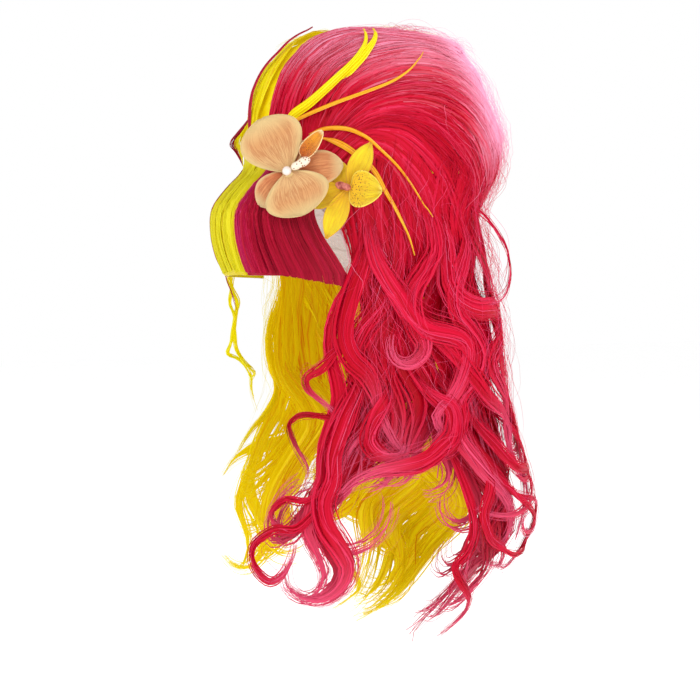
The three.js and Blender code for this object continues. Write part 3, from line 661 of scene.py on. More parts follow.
# Curls of the left side that stand out from the rest, each by its half width, tone, lift, bulge and stations.
CURL_POINTS = 33
CURLS = {
    "front_edge": (8, 0.42, -2, 0, [
        [54, -20], [55, -66], [53, -92], [46, -118], [37, -140], [31, -166], [31, -192], [35, -215],
        [38, -237], [36, -260], [34, -288], [38, -315], [38, -343], [40, -368], [50, -393], [56, -417],
        [52, -438], [42, -432], [32, -420],
    ]),
    "front_lobe": (9, 0.46, 0, 3, [
        [58, -190], [52, -217], [45, -245], [42, -270], [41, -294], [44, -317], [44, -338], [50, -361],
        [59, -382], [66, -405], [65, -428], [57, -441], [46, -437], [33, -423],
    ]),
    "sweep": (9, 0.5, 3, 3, [
        [70, -14], [65, -40], [62, -62], [63, -87], [69, -110], [76, -129], [81, -146], [86, -160],
        [91, -168], [96, -174], [99, -184], [98, -202], [94, -226], [91, -242], [89, -257], [90, -274],
        [87, -289], [80, -299], [73, -300],
    ]),
    "ring": (8, 0.48, 1, 4, [
        [86, -4], [90, -26], [92, -52], [91, -80], [88, -102], [83, -120], [81, -139], [83, -160],
        [86, -176], [85, -190], [80, -199], [74, -196], [71, -183], [73, -166],
    ]),
    "inner_wave": (9, 0.36, -3, 0, [
        [80, -10], [79, -40], [79, -77], [74, -115], [65, -142], [54, -163], [47, -187], [52, -208],
        [61, -224], [64, -243], [59, -265], [51, -281], [47, -297], [46, -315],
    ]),
    "cheek_wave": (8, 0.4, 0, 2, [
        [63, -30], [61, -60], [55, -90], [47, -122], [42, -150], [41, -172], [46, -193], [56, -209],
        [61, -228], [63, -247], [69, -269], [75, -286], [83, -299],
    ]),
    "back_edge": (10, 0.5, 0, 3, [
        [95, -8], [97, -34], [99, -63], [96, -92], [95, -116], [100, -135], [112, -144], [130, -144],
        [141, -154], [138, -172], [120, -189], [116, -206], [125, -224], [134, -244], [124, -270],
        [123, -299], [131, -319], [142, -337], [130, -356],
    ]),
    "back_wave": (10, 0.44, 0, 2, [
        [112, -14], [115, -42], [116, -69], [106, -96], [98, -122], [97, -149], [104, -172], [108, -194],
        [102, -218], [95, -236], [93, -257], [93, -279], [97, -300], [102, -318], [109, -335],
        [115, -356], [117, -382], [113, -399],
    ]),
    "low_cross": (7, 0.42, 2, 4, [
        [88, -150], [90, -172], [93, -186], [97, -202], [103, -220], [111, -238], [122, -254],
        [127, -276], [119, -298],
    ]),
    "low_sweep": (8, 0.5, 4, 4, [
        [84, -214], [88, -233], [91, -249], [91, -268], [89, -287], [84, -299], [76, -304], [65, -308],
        [55, -318], [50, -334],
    ]),
    "low_turn": (8, 0.42, 1, 3, [
        [90, -210], [93, -236], [95, -258], [92, -280], [88, -295], [81, -303], [73, -302],
    ]),
    "swirl": (6, 0.46, 3, 3, [
        [72, -222], [67, -238], [61, -256], [59, -277], [66, -293], [75, -294], [78, -282],
    ]),
    "cheek_curl": (3, 0.4, 0, 4, [
        [40, -168], [34, -187], [25, -203], [14, -215], [17, -230], [30, -244], [39, -258],
    ]),
    "red_loop": (2.2, 0.2, 0, 3, [
        [44, -256], [36, -256], [24, -253], [12, -255], [7, -267], [16, -287], [27, -306], [29, -326],
    ]),
    "big_ring": (3.4, 0.36, 0, 4, [
        [44, -330], [41, -347], [35, -366], [24, -368], [15, -385], [18, -406], [28, -420], [35, -411],
        [37, -394], [36, -377],
    ]),
    "small_loop": (3, 0.4, 0, 3, [
        [46, -305], [43, -322], [34, -339], [22, -339], [18, -354], [28, -367], [37, -360],
    ]),
    "nape_ring": (4, 0.5, 0, 6, [
        [100, -240], [104, -269], [113, -296], [124, -314], [140, -320], [142, -337], [129, -356],
        [115, -365], [103, -361], [97, -352],
    ]),
    "nape_tail": (4, 0.4, -4, 3, [
        [90, -260], [92, -299], [95, -337], [98, -370], [99, -397], [97, -414], [104, -433], [117, -453],
        [125, -471], [118, -484], [107, -494],
    ]),
    "nape_thin": (2.4, 0.55, 0, 6, [
        [106, -300], [112, -328], [122, -350], [138, -370], [143, -390], [142, -412], [130, -423],
        [115, -414],
    ]),
    "nape_hang": (5, 0.42, -2, 4, [
        [98, -255], [101, -295], [104, -327], [100, -359], [106, -387], [119, -402], [125, -420],
        [112, -416],
    ]),
    "rim_ring": (2.6, 0.5, 0, 6, [
        [118, -250], [128, -270], [138, -288], [146, -306], [142, -324], [130, -328], [122, -316],
        [128, -302],
    ]),
    "rim_loop": (2.2, 0.55, 0, 8, [
        [110, -330], [124, -346], [140, -352], [150, -366], [144, -384], [130, -386], [124, -372],
        [134, -362],
    ]),
    "rim_tail": (2.0, 0.5, 0, 8, [
        [104, -380], [114, -398], [128, -408], [142, -404], [146, -390], [136, -384],
    ]),
    "edge_arc": (1.4, 0.6, 0, 28, [
        [116, -20], [130, -46], [140, -71], [141, -94], [140, -117], [132, -134], [116, -141],
    ]),
}
# Where each bunch repeats these curls: a factor and a start for their angles.
REPEATS = {
    "left_front": [(1, 0)], "left_side": [(1, 0)], "left_back": [(1, 0), (-1, 242)],
    "right_front": [(-0.6, -46)], "right_side": [(-1, 0)], "right_back": [(-1, 0), (1, 118)],
}
FRONT_TO, SIDE_TO = 74, 97

# Fine curls that hang free beside the far cheek, from under the fringe, as points in the frame.
TENDRILS = [
    [
        [-80, -60, -94], [-89, -64, -114], [-80, -65, -126], [-89, -62, -140], [-80, -61, -152],
        [-88, -57, -164], [-80, -60, -178], [-86, -54, -192], [-74, -50, -206], [-68, -42, -216],
        [-82, -40, -226], [-92, -30, -244],
    ],
    [
        [-78, -58, -94], [-86, -62, -120], [-80, -58, -140], [-86, -58, -160], [-82, -64, -182],
        [-92, -62, -196], [-84, -50, -204], [-78, -42, -220], [-90, -34, -238], [-98, -22, -262],
    ],
]
WISP_POINTS = 12


def wisps(first, last, count, high):
    """Loose strands that stand off the hair in open arcs."""
    angle = chance.uniform(first, last, count)[:, None]
    top = chance.uniform(-190, 40, count)[:, None]
    run = np.linspace(0, 1, WISP_POINTS)
    reach = chance.uniform(50, 130, count)[:, None]
    z = top - reach * run
    drift = chance.normal(0, 18, count)[:, None] * run + wander(count, WISP_POINTS, 3, 6.0)
    angle = angle + drift / degree(angle, z)
    out = level(outer_normal(angle, z))
    stand = chance.uniform(0.1, 1, count)[:, None] * high * np.sin(np.pi * run) ** 0.8
    stand = stand + wander(count, WISP_POINTS, 3, high * 0.1)
    paths = outer_point(angle, z) + out * np.clip(stand, -4, high)[..., None]
    return fine_strands(paths, out, chance.uniform(0.1, 0.24, count), 0.55 + chance.normal(0, 0.14, count))


UNDER_LOW, UNDER_HIGH = -325, -265
under_chance = np.random.default_rng(11)


def curtain(first, last):
    """The under hair, broad bands that hang behind the locks and close the gaps between them."""
    count = int(10 + (last - first) * 0.7)
    angle = np.linspace(first, last, count)[:, None]
    low = under_chance.uniform(UNDER_LOW, UNDER_HIGH, count)[:, None]
    z = lerp(0.0, low, np.linspace(0, 1, CROWN_POINTS))
    sway = 6 * np.sin(z / 20 + under_chance.uniform(0, 6, count)[:, None])
    angle = angle + sway * smooth(-z, 20, 120) / degree(angle, z)
    out = level(outer_normal(angle, z))
    paths = outer_point(angle, z) - out * under_chance.uniform(13, 21, count)[:, None, None]
    # The under hair is set to a dark tone: painted shade in the gaps between the locks.
    tone = 0.12 + under_chance.normal(0, 0.05, count)
    return bands(paths, out, under_chance.uniform(3.2, 5.0, count), tone, tip=0.15)


def tendril(stations, count):
    """A thin curl of fine strands through points in the frame."""
    rows = np.concatenate([np.arange(len(stations))[:, None], stations], 1)
    ends = (len(stations) - 1) * chance.uniform(0.8, 1.0, count)
    paths = read_rows(rows, ends[:, None] * np.linspace(0, 1, CURL_POINTS))
    paths = paths + np.stack([wander(count, CURL_POINTS, 5, 1.1) for _ in range(3)], -1)
    size = chance.uniform(0.5, 1.0, count)
    return fine_strands(paths, level(paths), size, 0.7 + chance.normal(0, 0.1, count))


# The rows on either side of the parting at the back wave in step and curl away, so the colours stay apart.
LONG_FROM = -395
EDGE_SHARE = 0.07
PARTING_PHASE = 180.0
PARTING_ROWS = {"left_back": ([-1, -2], -4.0), "right_back": ([0, 1], 4.0)}

for name, (material, colour, (start, end), pitch, table) in BUNCHES.items():
    table = np.array(sorted(table), float)
    edges = table[[0, -1]].copy()
    edges[:, ANGLE] = lerp(np.array([start, end]), edges[:, ANGLE], EDGE_SHARE)
    filled = np.concatenate([edges[:1], table, edges[1:]]) if name.endswith("back") else table
    between = np.concatenate([edges[:1], (filled[1:] + filled[:-1]) / 2, edges[1:]])
    between[[0, -1], WAVE] *= 0.6
    between[:, LOW] += chance.uniform(0, 40, len(between))
    between[:, PHASE] += chance.uniform(-70, 70, len(between))
    between[:, HALF] *= 0.85
    between[:, INSET] += chance.uniform(2, 8, len(between))
    turned = chance.choice([-0.9, 0.9, 1.2], len(between))
    between[:, CURL] *= np.where(between[:, LOW] < LONG_FROM, 0.8, turned)
    if name in PARTING_ROWS:
        rows, aside = PARTING_ROWS[name]
        between[rows, PHASE] = PARTING_PHASE
        between[rows, CURL] = np.sign(aside) * np.abs(between[rows, CURL])
        between[rows[0], ANGLE] += aside
    slot_half = (end - start) * 2.1 / (len(table) + len(between)) * 1.2
    tops = (-14, 30) if "front" in name else (4, 44)
    near = name.startswith("left")
    parts = []
    for row in [*table, *between]:
        own_pitch = pitch * chance.uniform(0.9, 1.1)
        if row[PHASE] == PARTING_PHASE:
            own_pitch = pitch
        parts += lock_parts(
            lambda *spec: hung_lines(row, own_pitch, slot_half, tops, *spec), 0.24, 10, 7, (0.9, 2.4)
        )
    for factor, base in REPEATS[name]:
        for half, tone, lift, bulge, stations in CURLS.values():
            stations = np.array(stations, float)
            first = stations[0, 0]
            group = "front" if first < FRONT_TO else "side" if first < SIDE_TO else "back"
            repeated = base > 0
            if repeated and (stations[:, 0].min() < 68 or stations[:, 0].max() > 118):
                continue
            if not repeated and not name.endswith(group):
                continue
            if name == "right_front" and stations[:, 0].min() < 30:
                continue
            stations[:, 0] = stations[:, 0] * factor + base
            full = 1.0 if near and not repeated else 0.58
            count = int(full * (6 + half * 1.3))
            width = 0.5 + half * 0.02, 0.8 + half * 0.1
            parts += lock_parts(
                lambda *spec: curl_lines(half * 1.35, lift, bulge, stations, *spec),
                tone - 0.1, count, count, width,
            )
    if name.endswith("back"):
        parts.append(wisps(start + 8, end - 8, 160, 20))
    else:
        parts.append(wisps(start, end, 80, 9))
    parts.append(curtain(start, end))
    if name == "right_front":
        parts += [tendril(stations, 12) for stations in TENDRILS]
    curls = joined_piece(name + "_locks", parts, material)
    stands_for(curls, name + "_curls", "hair_" + colour)


# Beehive: hair teased over a pad, then combed back from the brow and temple over the top to the nape.
# It is the same fibre, lacquered in front and left airy at the back, where short ends stand off.
MIDDLE = np.array([0.0, 68.0, 4.0])
DOME_POINTS = 14
# Lines of the comb, from the brow round to the ear and over the back: bearing and height from the middle.
COMB_FRONT = [
    [[6, 6], [5, 25], [5, 42], [10, 57], [30, 70], [110, 74], [150, 58]],
    [[17, 10], [17, 26], [20, 40], [30, 53], [52, 64], [100, 64], [140, 48]],
    [[28, 14], [31, 30], [40, 43], [60, 54], [92, 60], [125, 52], [158, 14]],
    [[34, 14], [45, 33], [60, 43], [80, 49], [106, 48], [134, 34], [156, -8]],
    [[35, 10], [50, 27], [68, 35], [88, 38], [110, 34], [132, 16], [148, -20]],
    [[36, 6], [52, 21], [70, 27], [86, 26], [104, 16], [121, -2], [134, -32]],
    [[38, 2], [52, 14], [66, 15], [78, 8], [90, -4], [100, -17], [108, -30]],
    [[42, -2], [53, 7], [64, 3], [70, -8], [76, -20], [81, -32], [85, -42]],
]
COMB_BACK = [
    [[30, 82], [165, 80], [180, 62], [182, 45], [182, 28], [182, 10], [182, -10]],
    [[60, 74], [120, 72], [155, 62], [168, 48], [173, 32], [175, 15], [176, -10]],
    [[100, 62], [125, 58], [145, 48], [156, 34], [162, 18], [165, 2], [167, -18]],
    [[105, 45], [122, 40], [136, 30], [145, 16], [150, 0], [153, -15], [155, -30]],
    [[95, 30], [110, 25], [122, 14], [131, 0], [137, -14], [141, -27], [144, -38]],
]


def form_gap(points):
    """Above nought outside the hair's outer form, and below it inside."""
    half, front, back, square = np.moveaxis(read_rows(HAIR, points[..., 2]), -1, 0)
    x = np.abs(points[..., 0]) / half
    y = np.abs(points[..., 1] - (front + back) / 2) / ((back - front) / 2)
    return np.where(points[..., 2] > HAIR[-1][0], 1.0, x**square + y**square - 1)


def on_dome(directions):
    """Where rays from the dome's middle leave the hair's outer form, with the way out at each."""
    near, far = np.full(directions.shape[:-1], 5.0), np.full(directions.shape[:-1], 320.0)
    for _ in range(26):
        reach = (near + far) / 2
        inside = form_gap(MIDDLE + directions * reach[..., None]) < 0
        near, far = np.where(inside, reach, near), np.where(inside, far, reach)
    points = MIDDLE + directions * near[..., None]
    ceiling = [math.inf, math.inf, HAIR[-1][0]]
    slope = np.stack([
        form_gap(np.minimum(points + step, ceiling)) - form_gap(points - step) for step in np.eye(3) * 3
    ], -1)
    return points, unit(unit(slope) + 0.35 * directions)


def dome_lines(comb, hand, count, clump_size, lift, rough, ends):
    """Lines combed over the dome between the comb's lines, in clumps; ends limits how far each runs."""
    comb = np.radians(np.array(comb, float))
    bearing, height = comb[..., 0] * hand, comb[..., 1]
    ways = np.stack([np.cos(height) * np.sin(bearing), -np.cos(height) * np.cos(bearing), np.sin(height)], -1)
    lines, stations = ways.shape[:2]
    clumps = max(1, count // clump_size)
    which = chance.integers(0, clumps, count)
    at = np.clip(chance.uniform(0, lines - 1, clumps)[which] + chance.normal(0, 0.13, count), 0, lines - 1)
    low = np.minimum(at.astype(int), lines - 2)
    guide = lerp(ways[low], ways[low + 1], (at - low)[:, None, None])
    first = np.clip(chance.uniform(*ends[:2], clumps)[which] + chance.normal(0, 0.04, count), 0, 1)
    last = np.clip(chance.uniform(*ends[2:], clumps)[which] + chance.normal(0, 0.05, count), 0, 1)
    run = lerp(first[:, None], last[:, None], np.linspace(0, 1, DOME_POINTS)) * (stations - 1)
    rows = np.concatenate([np.arange(stations)[:, None], np.moveaxis(guide, 0, 1).reshape(stations, -1)], 1)
    smooth_lines = np.stack([
        read_rows(rows[:, [0, 1 + 3 * i, 2 + 3 * i, 3 + 3 * i]], run[i]) for i in range(count)
    ])
    points, out = on_dome(unit(smooth_lines))
    side = unit(np.cross(out, np.gradient(points, axis=1)))
    drift = wander(clumps, DOME_POINTS, 3, 1.6)[which] + wander(count, DOME_POINTS, 5, 0.4 + rough)
    rise = chance.uniform(*lift, clumps)[which][:, None] + wander(count, DOME_POINTS, 4, 0.3 + rough)
    return points + side * drift[..., None] + out * rise[..., None], out


def dome_along(points):
    """Place in the colour's length: deep behind the temple, paler to the top and the back."""
    # Deep crimson behind the temple is painted shade; the paler top and back, with the pale tip colours of
    # the dome finishes, are partly painted backlight and partly the teased hair's own paler tone.
    y, z = points[..., 1], points[..., 2]
    return np.clip(0.12 + 0.42 * smooth(z, 50, 150) + 0.8 * smooth(y, 95, 185) * smooth(z, -70, 80), 0, 1)


dome_pink = hair_finish(
    "hair_pink_dome", pink_tones, srgb(176, 2, 28), srgb(250, 180, 212), 0.36, 0.1, (0.2, 0.95)
)
dome_yellow = hair_finish(
    "hair_yellow_dome", yellow_tones, srgb(218, 186, 6), srgb(238, 230, 80), 0.36, 0.22, (0.25, 0.4)
)


FUZZ_POINTS = 8


def fuzz(hand, count):
    """Short teased ends that stand off the top and the back in loose arcs."""
    bearing = np.radians(182 - np.abs(chance.normal(0, 38, count)).clip(0, 84)) * hand
    height = np.radians(chance.uniform(-28, 84, count))
    ways = np.stack([np.cos(height) * np.sin(bearing), -np.cos(height) * np.cos(bearing), np.sin(height)], -1)
    points, out = on_dome(ways)
    down = unit(np.cross(np.cross(out, [0.0, 1.0, -0.6]), out))
    aside = np.cross(out, down)
    course = chance.normal(0, 0.7, count)
    along = down * np.cos(course)[:, None] + aside * np.sin(course)[:, None]
    across = np.cross(out, along)
    run = np.linspace(0, 1, FUZZ_POINTS)
    reach = chance.uniform(22, 64, count)[:, None]
    bow = reach * chance.normal(0, 0.28, count)[:, None]
    stand = np.abs(chance.normal(0, 5.5, count))[:, None]
    paths = (
        points[:, None]
        + along[:, None] * (reach * (run - 0.3))[..., None]
        + across[:, None] * (bow * run * (1 - run) * 4 + wander(count, FUZZ_POINTS, 2, 1.2))[..., None]
        + out[:, None] * (stand * np.sin(np.pi * run) ** 0.7 - 1)[..., None]
    )
    paths[..., 2] = np.minimum(paths[..., 2], HAIR[-1][0] + 9)
    split = (paths[..., 0] - SPLIT_X + SPLIT_SLOPE * paths[..., 1]) * hand
    kept = split.min(1) > -5
    tone = 0.5 + chance.normal(0, 0.14, count)
    outs = np.broadcast_to(out[:, None], paths.shape)
    size = chance.uniform(0.09, 0.22, count)
    return fine_strands(paths[kept], outs[kept], size[kept], tone[kept], along=dome_along(paths[kept]))


FLICK = [
    [-14, 60, 1], [-19, 52, 4], [-24, 44, 9], [-27, 37, 14], [-27, 32, 14], [-27, 27, 10], [-26, 18, 4],
    [-25, 6, -2],
]
FLICK_POINTS = 26


def flick(low, high, count, width):
    """A lacquered point that stands off the front of the beehive: low and high are shares of its reach."""
    rows = np.concatenate([np.arange(len(FLICK))[:, None], FLICK], 1)
    angle, z, rise = read_rows(rows, np.linspace(0, len(FLICK) - 1, FLICK_POINTS)).T
    out = level(outer_normal(angle, z))
    share = np.linspace(low, high, count)[:, None] + wander(count, FLICK_POINTS, 3, 0.03)
    paths = outer_point(angle, z) + out * (rise * share)[..., None]
    paths[..., 2] += wander(count, FLICK_POINTS, 2, 0.8)
    tone = 0.45 + chance.normal(0, 0.1, count)
    return fine_strands(paths, np.broadcast_to(out, paths.shape), np.full(count, width), tone)


for side, hand, full, material in (("pink", 1, 1.0, dome_pink), ("yellow", -1, 0.82, dome_yellow)):
    parts = [hair_core("beehive_" + side, 4.5, dome_along)]
    # The looser outer layers and the fuzz are set lighter: partly painted backlight on the standing strands,
    # partly the teased ends' own paler tone.
    layers = (
        (COMB_FRONT, 480, 2, (-2.5, 0.8), 0.1, (0.0, 0.25, 0.85, 1.0), (1.1, 2.8), -0.02, bands),
        (COMB_BACK, 330, 2, (-2.5, 0.8), 0.1, (0.0, 0.25, 0.85, 1.0), (1.1, 2.8), -0.02, bands),
        (COMB_FRONT, 290, 6, (-0.4, 1.8), 0.2, (0.0, 0.35, 0.55, 1.0), (0.24, 0.38), 0.05, fine_strands),
        (COMB_BACK, 180, 6, (-0.4, 2.0), 0.3, (0.0, 0.35, 0.55, 1.0), (0.24, 0.38), 0.05, fine_strands),
        (COMB_FRONT, 70, 2, (1.0, 7.0), 1.8, (0.4, 0.7, 0.8, 1.0), (0.1, 0.2), 0.25, fine_strands),
        (COMB_BACK, 60, 2, (1.0, 10.0), 3.0, (0.2, 0.6, 0.7, 1.0), (0.1, 0.2), 0.3, fine_strands),
    )
    for comb, count, clump_size, lift, rough, ends, width, lighter, make in layers:
        count = int(count * full)
        paths, out = dome_lines(comb, hand, count, clump_size, lift, rough, ends)
        split = (paths[..., 0] - SPLIT_X + SPLIT_SLOPE * paths[..., 1]) * hand
        over = chance.exponential(4, count)[:, None]
        paths[..., 0] += hand * np.maximum(0, -over - split)
        kept = split.mean(1) > -7
        tone = 0.36 + lighter + chance.normal(0, 0.1, count) - 0.16 * (split.min(1) < 0) * (side == "yellow")
        size = chance.uniform(*width, count)
        along = np.clip(dome_along(paths) + chance.normal(0, 0.09, count)[:, None], 0, 1)
        parts.append(make(paths[kept], out[kept], size[kept], tone[kept], along=along[kept]))
    parts.append(fuzz(hand, 660 if side == "pink" else 320))
    if side == "yellow":
        parts.append(flick(0.1, 0.75, 14, 0.9))
    hive = joined_piece("beehive_strands_" + side, parts, material)
    stands_for(hive, "beehive_" + side, "hair_" + side)


# Fringe: a full straight bang, blown smooth over a round brush so that it bulges over the brow.
# The yellow and pink wefts meet off centre, and the ends are cut blunt in one line.
# Form of the fringe by height: half width, reach before the head and the angle of its near edge.
FRINGE = [
    [-108, 84, 103, 84], [-86, 87, 113, 77], [-59, 88, 119, 69], [-37, 86, 117, 66], [-16, 81, 100, 68],
    [2.4, 76, 80, 72],
]
FRINGE_SQUARE = 2.4
FRINGE_SPLIT = 11.0
FRINGE_FAR = -80.0
FRINGE_POINTS = 13
# Hem of the fringe by angle: it dips towards the near temple.
FRINGE_HEM = [[-80, -112], [-30, -106], [11, -103], [40, -106], [62, -111], [84, -119]]
# The fringe's tones run darker than the rest of the pink: partly painted shade under the orchid, partly the
# fringe's own deeper colour.
fringe_tones = [
    (0.0, srgb(104, 0, 18)), (0.25, srgb(148, 4, 32)), (0.5, srgb(176, 14, 50)),
    (0.75, srgb(186, 24, 84)), (1.0, srgb(216, 84, 134)),
]
fringe_yellows = [
    (0.0, srgb(196, 114, 10)), (0.12, srgb(204, 174, 8)), (0.5, srgb(214, 200, 16)),
    (0.75, srgb(220, 210, 24)), (1.0, srgb(230, 222, 72)),
]
fringe_gold = hair_finish(
    "hair_fringe_yellow", fringe_yellows, srgb(204, 176, 8), srgb(212, 204, 24), 0.32, 0.1
)
hair_fringe = hair_finish("hair_fringe", fringe_tones, srgb(150, 10, 40), srgb(176, 20, 52), 0.3, 0.04)


def fringe_point(angle, z, depth):
    """A point at a depth below the fringe's bulging face."""
    half, reach = np.moveaxis(read_rows(FRINGE, z)[..., :2], -1, 0)
    turn = np.radians(angle)
    x = (half - depth) * rounded(np.sin(turn), FRINGE_SQUARE)
    y = -(reach - depth) * rounded(np.cos(turn), FRINGE_SQUARE)
    return np.stack([x, y, z + 0 * x], -1)


def beehive_front(x, z):
    """How far forward the beehive's front lies."""
    half, front, back, square = np.moveaxis(read_rows(HAIR, z), -1, 0)
    share = np.clip(1 - (np.abs(x) / half) ** square, 0, 1) ** (1 / square)
    return (front + back) / 2 - (back - front) / 2 * share


def fringe_lines(first, to_near, count, clumps, depths):
    """Lines combed down over the brow in clumps, with the share across the fringe of each."""
    which = chance.integers(0, clumps, count)
    share = np.clip(chance.uniform(0, 1, clumps)[which] + chance.normal(0, 0.012, count), 0, 1)
    run = np.linspace(0, 1, FRINGE_POINTS)
    hem_angle = lerp(first, FRINGE[0][3] if to_near else FRINGE_SPLIT, share)
    hem = read_rows(FRINGE_HEM, hem_angle)[:, 0] + chance.normal(0, 0.6, count)
    above = smooth(np.abs(hem_angle), 64, 36) * chance.exponential(14, count).clip(0, 44)
    z = lerp((chance.uniform(12, 24, count) + above)[:, None], hem[:, None], run)
    near = read_rows(FRINGE, z)[..., 2]
    angle = lerp(first, near if to_near else FRINGE_SPLIT, share[:, None])
    angle = angle + wander(clumps, FRINGE_POINTS, 2, 0.5)[which] + wander(count, FRINGE_POINTS, 3, 0.25)
    depth = chance.uniform(*depths, count)[:, None] + wander(count, FRINGE_POINTS, 2, 0.2)
    paths = fringe_point(angle, z, depth)
    rooted = smooth(z, -6, 17) * smooth(np.abs(angle), 62, 40)
    paths[..., 1] = lerp(paths[..., 1], beehive_front(paths[..., 0], z) + 1.5, rooted)
    return paths, level(paths), share, chance.normal(0, 0.1, clumps)[which] + chance.normal(0, 0.05, count)


for side, to_near, first, broad, fine, material in (
    ("pink", True, FRINGE_SPLIT, 260, 180, hair_fringe),
    ("yellow", False, FRINGE_FAR, 320, 200, fringe_gold),
):
    parts = [hair_core("fringe_" + side, 1.6)]
    for count, depths, width, make in (
        (broad, (-0.4, 1.2), (1.2, 2.6), bands), (fine, (-1.0, 0.2), (0.24, 0.4), fine_strands),
    ):
        paths, out, share, shade = fringe_lines(first, to_near, count, count // 4, depths)
        tone = 0.28 + 0.42 * smooth(share, 0.3, 0.0) if to_near else 0.56 - 0.5 * smooth(share, 0.965, 1.0)
        parts.append(make(paths, out, chance.uniform(*width, count), tone + shade, tip=0.85))
    bang = joined_piece("fringe_strands_" + side, parts, material)
    stands_for(bang, "fringe_" + side, "hair_" + side)


# Waxed strips: flat strands drawn out with styling wax, that fan from behind the orchids over the beehive.
# Each is a bundle of fibre combed to a point, pinned at its root under the flowers.
STRIP_POINTS = 40
orange_tones = [
    (0.0, srgb(206, 96, 12)), (0.25, srgb(232, 142, 20)), (0.5, srgb(244, 176, 28)),
    (0.75, srgb(248, 200, 60)), (1.0, srgb(252, 224, 130)),
]
red_tones = [
    (0.0, srgb(96, 4, 20)), (0.25, srgb(140, 10, 36)), (0.5, srgb(172, 18, 48)),
    (0.75, srgb(196, 36, 66)), (1.0, srgb(224, 80, 104)),
]
hair_orange = hair_finish("hair_orange", orange_tones, srgb(226, 120, 20), srgb(248, 206, 60), 0.32, 0.08)
hair_red = hair_finish("hair_red", red_tones, srgb(120, 6, 26), srgb(186, 24, 54), 0.32, 0.04)
# Each strip: half width, thickness, lift, material, slot, and stations of angle and height on the hair.
STRIPS = {
    "yellow_strip": (6, 1.3, 4, hair_yellow, "hair_yellow", [
        [[17, 52], [23, 60], [34, 73], [46, 96], [55, 115], [60, 131], [61, 149]],
        [[46, 96], [56, 113], [64, 131], [70, 150]],
    ]),
    "orange_strand": (2, 1.2, 5, hair_orange, "hair_orange", [
        [[19, 50], [27, 56], [47, 71], [64, 84], [76, 95], [85, 108], [93, 125]],
    ]),
    "arc_strand": (2, 1.2, 5, hair_orange, "hair_orange", [
        [[33, 40], [41, 45], [52, 45], [61, 37], [68, 25], [78, 5], [87, -22], [92, -46]],
    ]),
    "falling_strand": (3, 1.2, 5, hair_orange, "hair_orange", [
        [[40, 36], [47, 32], [55, 23], [66, 4], [72, -18], [78, -41], [82, -63], [84, -86]],
    ]),
    "red_strip": (4, 1.3, 5, hair_red, "hair_red", [
        [[-8, 26], [-12, 60], [-15, 86], [-14, 108], [-9, 130], [-5, 147], [-4, 153]],
    ]),
}


# The strand on the brow: angle, height and how far it stands off the fringe.
BROW_STRAND = [
    [-26, 4, 1], [-29, -30, 1.2], [-31, -60, 1.2], [-32, -90, 1], [-31, -112, -2], [-30, -128, -8],
    [-30, -146, -13],
]
BROW_FIBRES = 4


def station_route(stations):
    """Even steps along a smooth line through stations."""
    stations = np.array(stations, float)
    rows = np.concatenate([np.arange(len(stations))[:, None], stations], 1)
    return read_rows(rows, np.linspace(0, len(stations) - 1, STRIP_POINTS))


def brow_strand():
    """A thin strand that hangs from the red strip along the far edge of the fringe."""
    angle, z, rise = station_route(BROW_STRAND).T
    spine = fringe_point(angle, z, -rise)
    paths = spine + np.stack([wander(BROW_FIBRES, STRIP_POINTS, 4, 0.5) for _ in range(3)], -1)
    tone = 0.35 + chance.normal(0, 0.1, BROW_FIBRES)
    return fine_strands(paths, level(paths), np.full(BROW_FIBRES, 0.6), tone)


for name, (half, thick, lift, material, slot, arms) in STRIPS.items():
    parts = []
    for stations in arms:
        route = station_route(stations)
        angle, z = route[:, 0], np.minimum(route[:, 1], HAIR[-1][0])
        out = outer_normal(angle, z)
        run = np.linspace(0, 1, STRIP_POINTS)
        rise = lerp(-1, lift, np.clip(run * 3, 0, 1))[:, None]
        spine = outer_point(angle, z) + out * rise
        spine[:, 2] += np.maximum(0, route[:, 1] - HAIR[-1][0])
        narrow = lerp(1, 0.12, run**2) * lerp(0.3, 1, smooth(run, 0, 0.2))
        fibres = max(7, int(half * 5))
        share = np.linspace(-1, 1, fibres)[:, None] + chance.normal(0, 0.06, (fibres, 1))
        side = unit(np.cross(out, np.gradient(spine, axis=0)))
        above = np.sqrt(np.clip(1 - share**2, 0, 1)) * thick * 0.7 + chance.uniform(0, 0.3, (fibres, 1))
        offset = side * (share * half * 0.92 * narrow)[..., None] + out * above[..., None]
        paths = spine + offset + side * wander(fibres, STRIP_POINTS, 4, 0.15)[..., None]
        width = taper(STRIP_POINTS, 0.8, 0.35, np.full((fibres, 1), 0.5))
        out_rows = np.broadcast_to(out, paths.shape)
        flat = half * narrow, thick * 0.8 * narrow
        parts.append(tubes(spine[None], out[None], flat[0][None], flat[1][None], 10, [0.68], 0.1))
        tone = 0.45 + 0.3 * np.sin(share[:, 0] * 11) + chance.normal(0, 0.1, fibres)
        parts.append(tubes(paths, out_rows, width, width * 0.9, 3, strand_map(tone)))
    if name == "red_strip":
        parts += [flick(0.7, 1.05, 9, 0.7), brow_strand()]
    strip = joined_piece(name + "_fibres", parts, material)
    stands_for(strip, name, slot)


# Peach orchid: petals cut from printed cloth with a hot edge, heat-moulded and glued on a short pin.
# Three sepals lie behind two broad petals; a golden lip, a spotted column and a pearl sit in the middle.
CLOTH = 0.9
FACING = 48.0
PETAL_END = 0.12


def flower_pose(centre, tilt):
    """Turns a flower that is modelled flat, in millimetres, to face out from its place."""
    turn = Matrix.Rotation(math.radians(FACING), 4, "Z") @ Matrix.Rotation(math.radians(90 - tilt), 4, "X")
    return Matrix.Scale(0.001, 4) @ Matrix.Translation(centre) @ turn


